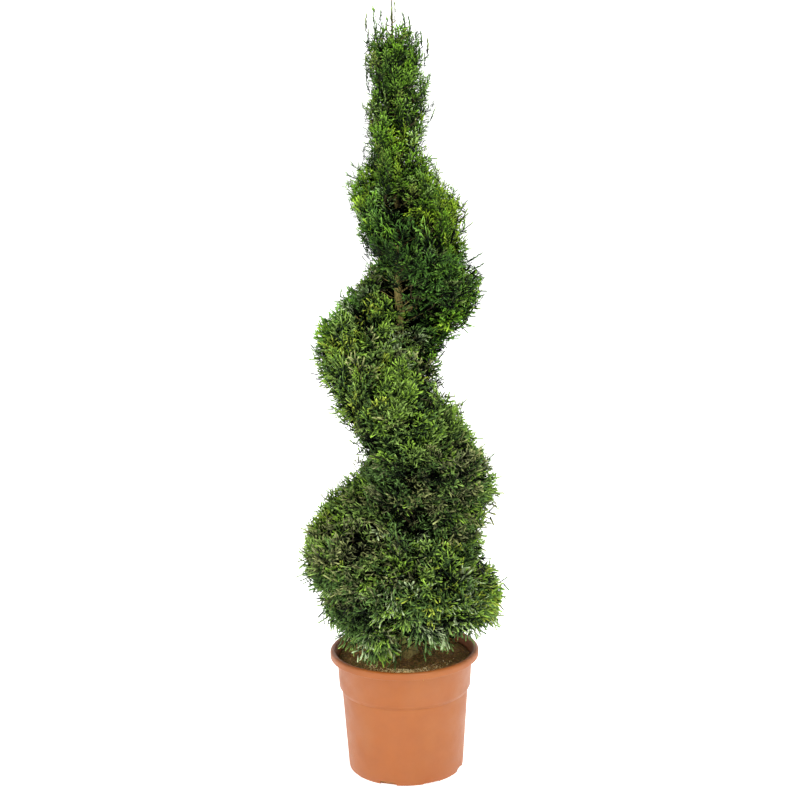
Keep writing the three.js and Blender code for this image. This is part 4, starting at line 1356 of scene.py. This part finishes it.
def face_points(count, random):
    """Angles and heights spread evenly over the crown's clipped face."""
    angles, heights = [], []
    found, tries, step, turn_step = 0, 20000, 4 * MM, 0.03
    while found < count:
        angle = random.uniform(-math.pi, math.pi, tries)
        z = random.uniform(CROWN_FOOT, CROWN_TOP, tries)
        radius = crown_radius(angle, z)
        up = (crown_radius(angle, z + step) - crown_radius(angle, z - step)) / (2 * step)
        aside = (crown_radius(angle + turn_step, z) - crown_radius(angle - turn_step, z)) / (2 * turn_step)
        area = np.sqrt(radius**2 * (1 + np.clip(up, -3, 3) ** 2) + aside**2)
        keep = random.random(tries) < area / 0.5
        angles.append(angle[keep])
        heights.append(z[keep])
        found += keep.sum()
    return np.concatenate(angles)[:count], np.concatenate(heights)[:count]


def spray_directions(angle, z, random, looseness):
    """Outward, lifted more towards the top and hanging round the foot; neighbours lean alike."""
    lift = np.interp(z, *LIFT)
    out = outward_at(angle, z)
    place = polar(angle, crown_radius(angle, z), z)
    clumps = np.stack([cloud_noise(place, CLUMP, seed) for seed in (21, 22, 23)], -1)
    along = unit(out * 0.8 + np.stack([0 * z, 0 * z, lift], -1) + clumps * 1.1)
    return unit(along + random.normal(0, looseness, along.shape))


def square_to(along, random, roll):
    """A width direction for each spray: near level, turned at random."""
    level = unit(np.stack([-along[:, 1], along[:, 0], 0 * along[:, 0]], -1))
    guess = level + random.uniform(-0.5, 0.5, along.shape) * roll
    return unit(guess - along * np.sum(guess * along, axis=1, keepdims=True))


def lowest_tip(points):
    """How low sprays may hang over the lip: lowest at the front left, with a gap beside it."""
    angle = np.arctan2(points[:, 1], points[:, 0])
    lowest = HANG_HEIGHT + cloud_noise(points, 45 * MM, 31) * 26 * MM
    for middle, width, rise in HANGS:
        lowest = lowest + rise * np.exp(-(((angle - middle) / width) ** 2))
    return lowest


def hides_trunk(tips, random):
    """Most sprays are missing where the trunk shows at the front, between two masses."""
    hidden = np.zeros(len(tips), bool)
    for height, rise, half in TRUNK_WINDOWS:
        hidden |= (np.abs(tips[:, 0]) < half) & (np.abs(tips[:, 2] - height) < rise) & (tips[:, 1] < 0)
    return hidden & (random.random(len(tips)) < WINDOW_CLEARING)


def kinds_at(z, random):
    """Fans that suit the height: long and hanging at the foot, slim and upright at the top."""
    picks = random.random(len(z))
    broad = np.choose(random.integers(0, len(BROAD_KINDS), len(z)), BROAD_KINDS)
    hanging = np.choose(random.integers(0, len(HANGING_KINDS), len(z)), HANGING_KINDS)
    upright = np.choose(random.integers(0, len(UPRIGHT_KINDS), len(z)), UPRIGHT_KINDS)
    low = picks < np.interp(z, *HANGING_SHARE)
    high = picks < np.interp(z, *UPRIGHT_SHARE)
    return np.where(low, hanging, np.where(high, upright, broad))


def shortened(tip, along, length):
    """Lengths cut back until the roots are clear of the trunk and the pot, and which ones are."""
    alive = np.zeros(len(tip), bool)
    for _ in range(7):
        root = tip - along * length[:, None]
        reach = np.hypot(root[:, 0], root[:, 1])
        outline = crown_radius(np.arctan2(root[:, 1], root[:, 0]), root[:, 2])
        clear = (reach > trunk_radius(root[:, 2]) + 3 * MM) & (reach < outline + 2 * MM)
        clear &= root[:, 2] > np.where(reach > LIP_INNER - 6 * MM, POT_HEIGHT, SOIL_TOP) + 4 * MM
        length = np.where(alive | clear, length, length * 0.8)
        alive |= clear
    return length, alive


def grow_sprays(count, least, inset, length_scale, seed, loose):
    """Sprays whose tips stand in the clipped face, or a little inside it, rooted in the crown."""
    random = shuffled(seed)
    angle, z = face_points(count, random)
    along = spray_directions(angle, z, random, loose)
    surface = polar(angle, crown_radius(angle, z), z)
    across = square_to(along, random, 1.6)
    out = outward_at(angle, z)
    tufts = cloud_noise(surface, CLUMP, 9) + 0.5 * cloud_noise(surface, CLUMP / 2, 10)
    deep = least + random.exponential(inset, count) - tufts * TUFT_RELIEF
    edge_on = np.abs(np.sum(across * out, axis=1)) * FAN_HALF_WIDTH
    tip = surface - out * (deep + edge_on)[:, None]
    length = np.interp(z, *SPRAY_LENGTH) * length_scale * random.uniform(0.8, 1.2, count)
    length, alive = shortened(tip, along, length)
    root = tip - along * length[:, None]
    turn = mass_turn(angle, z)
    depth = groove_depth(angle, z)
    outside = past_outline(tip)
    middle = tip - along * 0.4 * length[:, None]
    sides = [middle + across * share * length[:, None] for share in (0, 0.42, -0.42)]
    room = ROOM - max(least, 0)
    lowest, highest = np.array(CAD_BOX) + ((-room,), (room,))
    alive &= (past_outline(root) < -ROOT_COVER) | (z > RAGGED_ABOVE)
    for points in (tip, *sides):
        alive &= past_outline(points) < OVERGROWTH - least
        alive &= np.all((points > lowest) & (points < highest), axis=1)
    alive &= random.random(count) < np.interp(z, *(KEPT_OTHERS if least else KEPT_OUTER))
    alive &= random.random(count) > GROOVE_GAPS * depth * (z < GAPS_BELOW)
    alive &= (length > SHORTEST) & (tip[:, 2] > lowest_tip(tip) + least) & (tip[:, 2] < CROWN_TOP)
    alive &= ~hides_trunk(tip, random)
    tone = deal_tones(tip, turn, z, depth, random)
    # Sprays sunk deep inside the clipped outline turn darker: painted shade for the crown's inside.
    sunk = np.maximum(OVERGROWTH - outside, 0) * np.interp(z, *DEPTH_FELT)
    depth_felt = sunk * random.uniform(0.7, 1.3, count)
    tone = np.where(depth_felt > DUSK_DEPTH, TONE_NAMES.index("deep"), tone)
    tone = np.where((depth_felt > SHADE_DEPTH) & (z > SHADE_ABOVE), TONE_NAMES.index("shade"), tone)
    width = length * random.uniform(0.85, 1.15, count)
    kind = kinds_at(z, random)
    made = Sprays(root, along, across, np.cross(along, across), length, width, kind, tone, turn)
    return Sprays(*(field[alive] for field in made))


def hanging_tufts(random):
    """The tufts' shoots, in the same terms as the outgrown ones."""
    rows = []
    for tuft in TUFTS:
        facing = np.radians(random.normal(tuft.facing, tuft.spread, tuft.count))
        out = random.uniform(84, 124, tuft.count)
        z = tuft.lowest + random.exponential(12, tuft.count)
        fan = random.integers(HANGING_KINDS[0], HANGING_KINDS[1] + 1, tuft.count)
        length, rise = random.uniform(84, 112, tuft.count), -random.uniform(90, 190, tuft.count)
        rows.append(np.stack([out * np.cos(facing), out * np.sin(facing), z, length, rise, fan], -1))
    return np.concatenate(rows)


def outgrown_shoots(random):
    """The shoots that outgrew the clipping, and the tufts that hang over the soil."""
    rows = np.concatenate([np.array(SHOOTS, float), hanging_tufts(random)])
    tip, length = rows[:, :3] * MM, rows[:, 3] * MM
    along = unit(rows[:, :3] * (0.9, 0.9, 0) + rows[:, 4:5] * (0, 0, 1))
    across = square_to(along, random, 1.0)
    root = tip - along * length[:, None]
    kind = rows[:, 5].astype(int)
    groups = [kind == WISP, np.isin(kind, HANGING_KINDS)]
    picks = []
    for names in SHOOT_TONES.values():
        picks.append(random.choice([TONE_NAMES.index(name) for name in names], len(rows)))
    tone = np.select(groups, picks[:2], picks[2])
    turn = mass_turn(np.arctan2(tip[:, 1], tip[:, 0]), np.minimum(tip[:, 2], CROWN_TOP))
    return Sprays(root, along, across, np.cross(along, across), length, length, kind, tone, turn)


def joined(*groups):
    return Sprays(*(np.concatenate(fields) for fields in zip(*groups)))


def chosen(sprays, mask):
    return Sprays(*(field[mask] for field in sprays))


def mass_names():
    """The foliage nodes in order up the spiral, with the turn where each ends."""
    names = [(f"foliage_{i // 4 + 1}_{QUARTERS[i % 4]}", FIRST_TURN + (i + 1) / 2) for i in range(BOUGHS)]
    halves = ("4_front_left", "5_back_right", "top_front_left", "top_back_right")
    return names + [(f"foliage_{name}", FIRST_TURN + 8 + i) for i, name in enumerate(halves)]


def nodes_of(turn):
    """The foliage nodes that sprays at these turns stand for."""
    names = mass_names()
    ends = np.array([end for _, end in names])
    rows = np.minimum(np.searchsorted(ends, turn), len(names) - 1)
    return [names[i][0] for i in np.unique(rows)]


def plant_sprays(name, sprays, kit, finish):
    turn = euler_from_axes(sprays.along, sprays.across, sprays.facing)
    size = np.stack([sprays.length, sprays.width, sprays.width], -1)
    base = point_mesh(name, sprays.root, turn=turn, size=size, kind=sprays.kind)
    piece = grown(name, base, PLANT, Kit=kit, Finish=finish)
    return settle(piece, nodes_of(sprays.turn))


def make_foliage(bark):
    random = shuffled(5)
    finger = make_kit("finger", [finger_mesh("finger")])
    fans = make_kit("fan", [fan_mesh(f"fan_{i}", fan, random, finger) for i, fan in enumerate(FANS)])
    outer, inner, ragged = (grow_sprays(*layer) for layer in (OUTER, INNER, RAGGED))
    kept = random.random(len(ragged.tone)) < RAGGED_SHARE
    ragged = chosen(ragged, (ragged.root[:, 2] > RAGGED_ABOVE) & kept)
    # The inner layer is all in the near-black "shade" tone: painted shade for the crown's inside.
    shaded = np.full(len(inner.tone), TONE_NAMES.index("shade"))
    inner = inner._replace(tone=shaded, kind=np.full(len(shaded), INNER_KIND))
    sprays = joined(outer, inner, ragged, outgrown_shoots(random))
    limb_lines = make_boughs(bark) + finer_limbs(random)
    make_limbs("finer_limbs", limb_lines[BOUGHS:], 6, bark)
    limb_points = np.concatenate([path[2:] for path, _ in limb_lines])
    carried = np.arange(len(sprays.root)) % 2 == 0
    twigs = twigs_to(sprays.root[carried], sprays.along[carried], limb_points, 0.8 * MM)
    make_limbs("twigs", twigs, 3, bark_finish("twig_bark", (88, 76, 48), (38, 32, 22), (52, 62, 34)))
    for i, tone in enumerate(TONE_NAMES):
        specular = 0.02 if tone == "shade" else 0.12
        for tier in TIERS:
            mask = (sprays.tone == i) & (sprays.turn > tier.first) & (sprays.turn <= tier.last)
            if mask.any():
                foot, end = (np.array(colour) * tier.tint for colour in TONES[tone])
                finish = leaf_finish(f"{tone}_leaves_{tier.name}", foot, end, tier.dark_share, specular)
                plant_sprays(f"sprays_{tone}_{tier.name}", chosen(sprays, mask), fans, finish)
    clear_kit(fans)
    clear_kit(finger)


# ---- the studio ----


def glowing_floor():
    """White paper lit from behind a little, so that it stays white to the horizon."""
    material = plain_finish("pale_floor", (250, 250, 250), 0.9)
    shader = material.node_tree.nodes["Principled BSDF"]
    shader.inputs["Emission Color"].default_value = (1, 1, 1, 1)
    shader.inputs["Emission Strength"].default_value = FLOOR_GLOW
    return material


def make_floor():
    sides = 96
    turns = np.arange(sides) * TAU / sides
    rows = np.concatenate([polar(turns, FLOOR_RADIUS * np.ones(sides), z) for z in (0, FLOOR_RADIUS / 2)])
    mesh = bpy.data.meshes.new("studio_floor")
    mesh.from_pydata(rows.tolist(), [], [list(range(sides)), *[f[::-1] for f in grid_faces(2, sides)]])
    floor = new_object("studio_floor", mesh)
    mesh.materials.append(glowing_floor())


def area_light(name, place, target, size, power, colour):
    light = bpy.data.lights.new(name, "AREA")
    light.shape = "DISK"
    light.size = size
    light.energy = power
    light.color = colour
    lamp = new_object(name, light)
    lamp.location = place
    lamp.rotation_euler = (Vector(target) - Vector(place)).to_track_quat("-Z", "Y").to_euler()


def make_studio():
    make_floor()
    middle = (0, 0, 0.7)
    area_light("key_light", (1.2, -2.4, 3.8), middle, 1.4, 125, (1, 0.985, 0.95))
    area_light("fill_light", (-2.6, -1.6, 2.2), middle, 2.2, 42, (1, 1, 0.97))
    area_light("rim_light", (1.8, 2.0, 2.6), middle, 1.6, 52, (1, 1, 0.95))
    world = bpy.data.worlds.new("studio")
    world.use_nodes = True
    world.node_tree.nodes["Background"].inputs["Color"].default_value = (1, 1, 1, 1)
    world.node_tree.nodes["Background"].inputs["Strength"].default_value = SKY_STRENGTH
    bpy.context.scene.world = world
    bpy.context.scene.view_settings.view_transform = "Standard"


def make_camera():
    camera = bpy.data.cameras.new("camera")
    camera.sensor_width = 36
    camera.lens = LENS
    eye = new_object("camera", camera)
    pitch = Matrix.Rotation(math.radians(90 - CAMERA_DIP), 4, "X")
    roll = Matrix.Rotation(math.radians(CAMERA_ROLL), 4, "Z")
    eye.matrix_world = Matrix.Translation(CAMERA_PLACE) @ pitch @ roll
    bpy.context.scene.camera = eye


# ---- the whole ----


def main():
    make_camera()
    make_pot()
    make_soil()
    make_ground_cover(shuffled(3))
    bark = bark_finish("bark", (168, 152, 88), (90, 78, 44), (104, 110, 58))
    make_trunk(bark)
    make_foliage(bark)
    make_studio()


main()
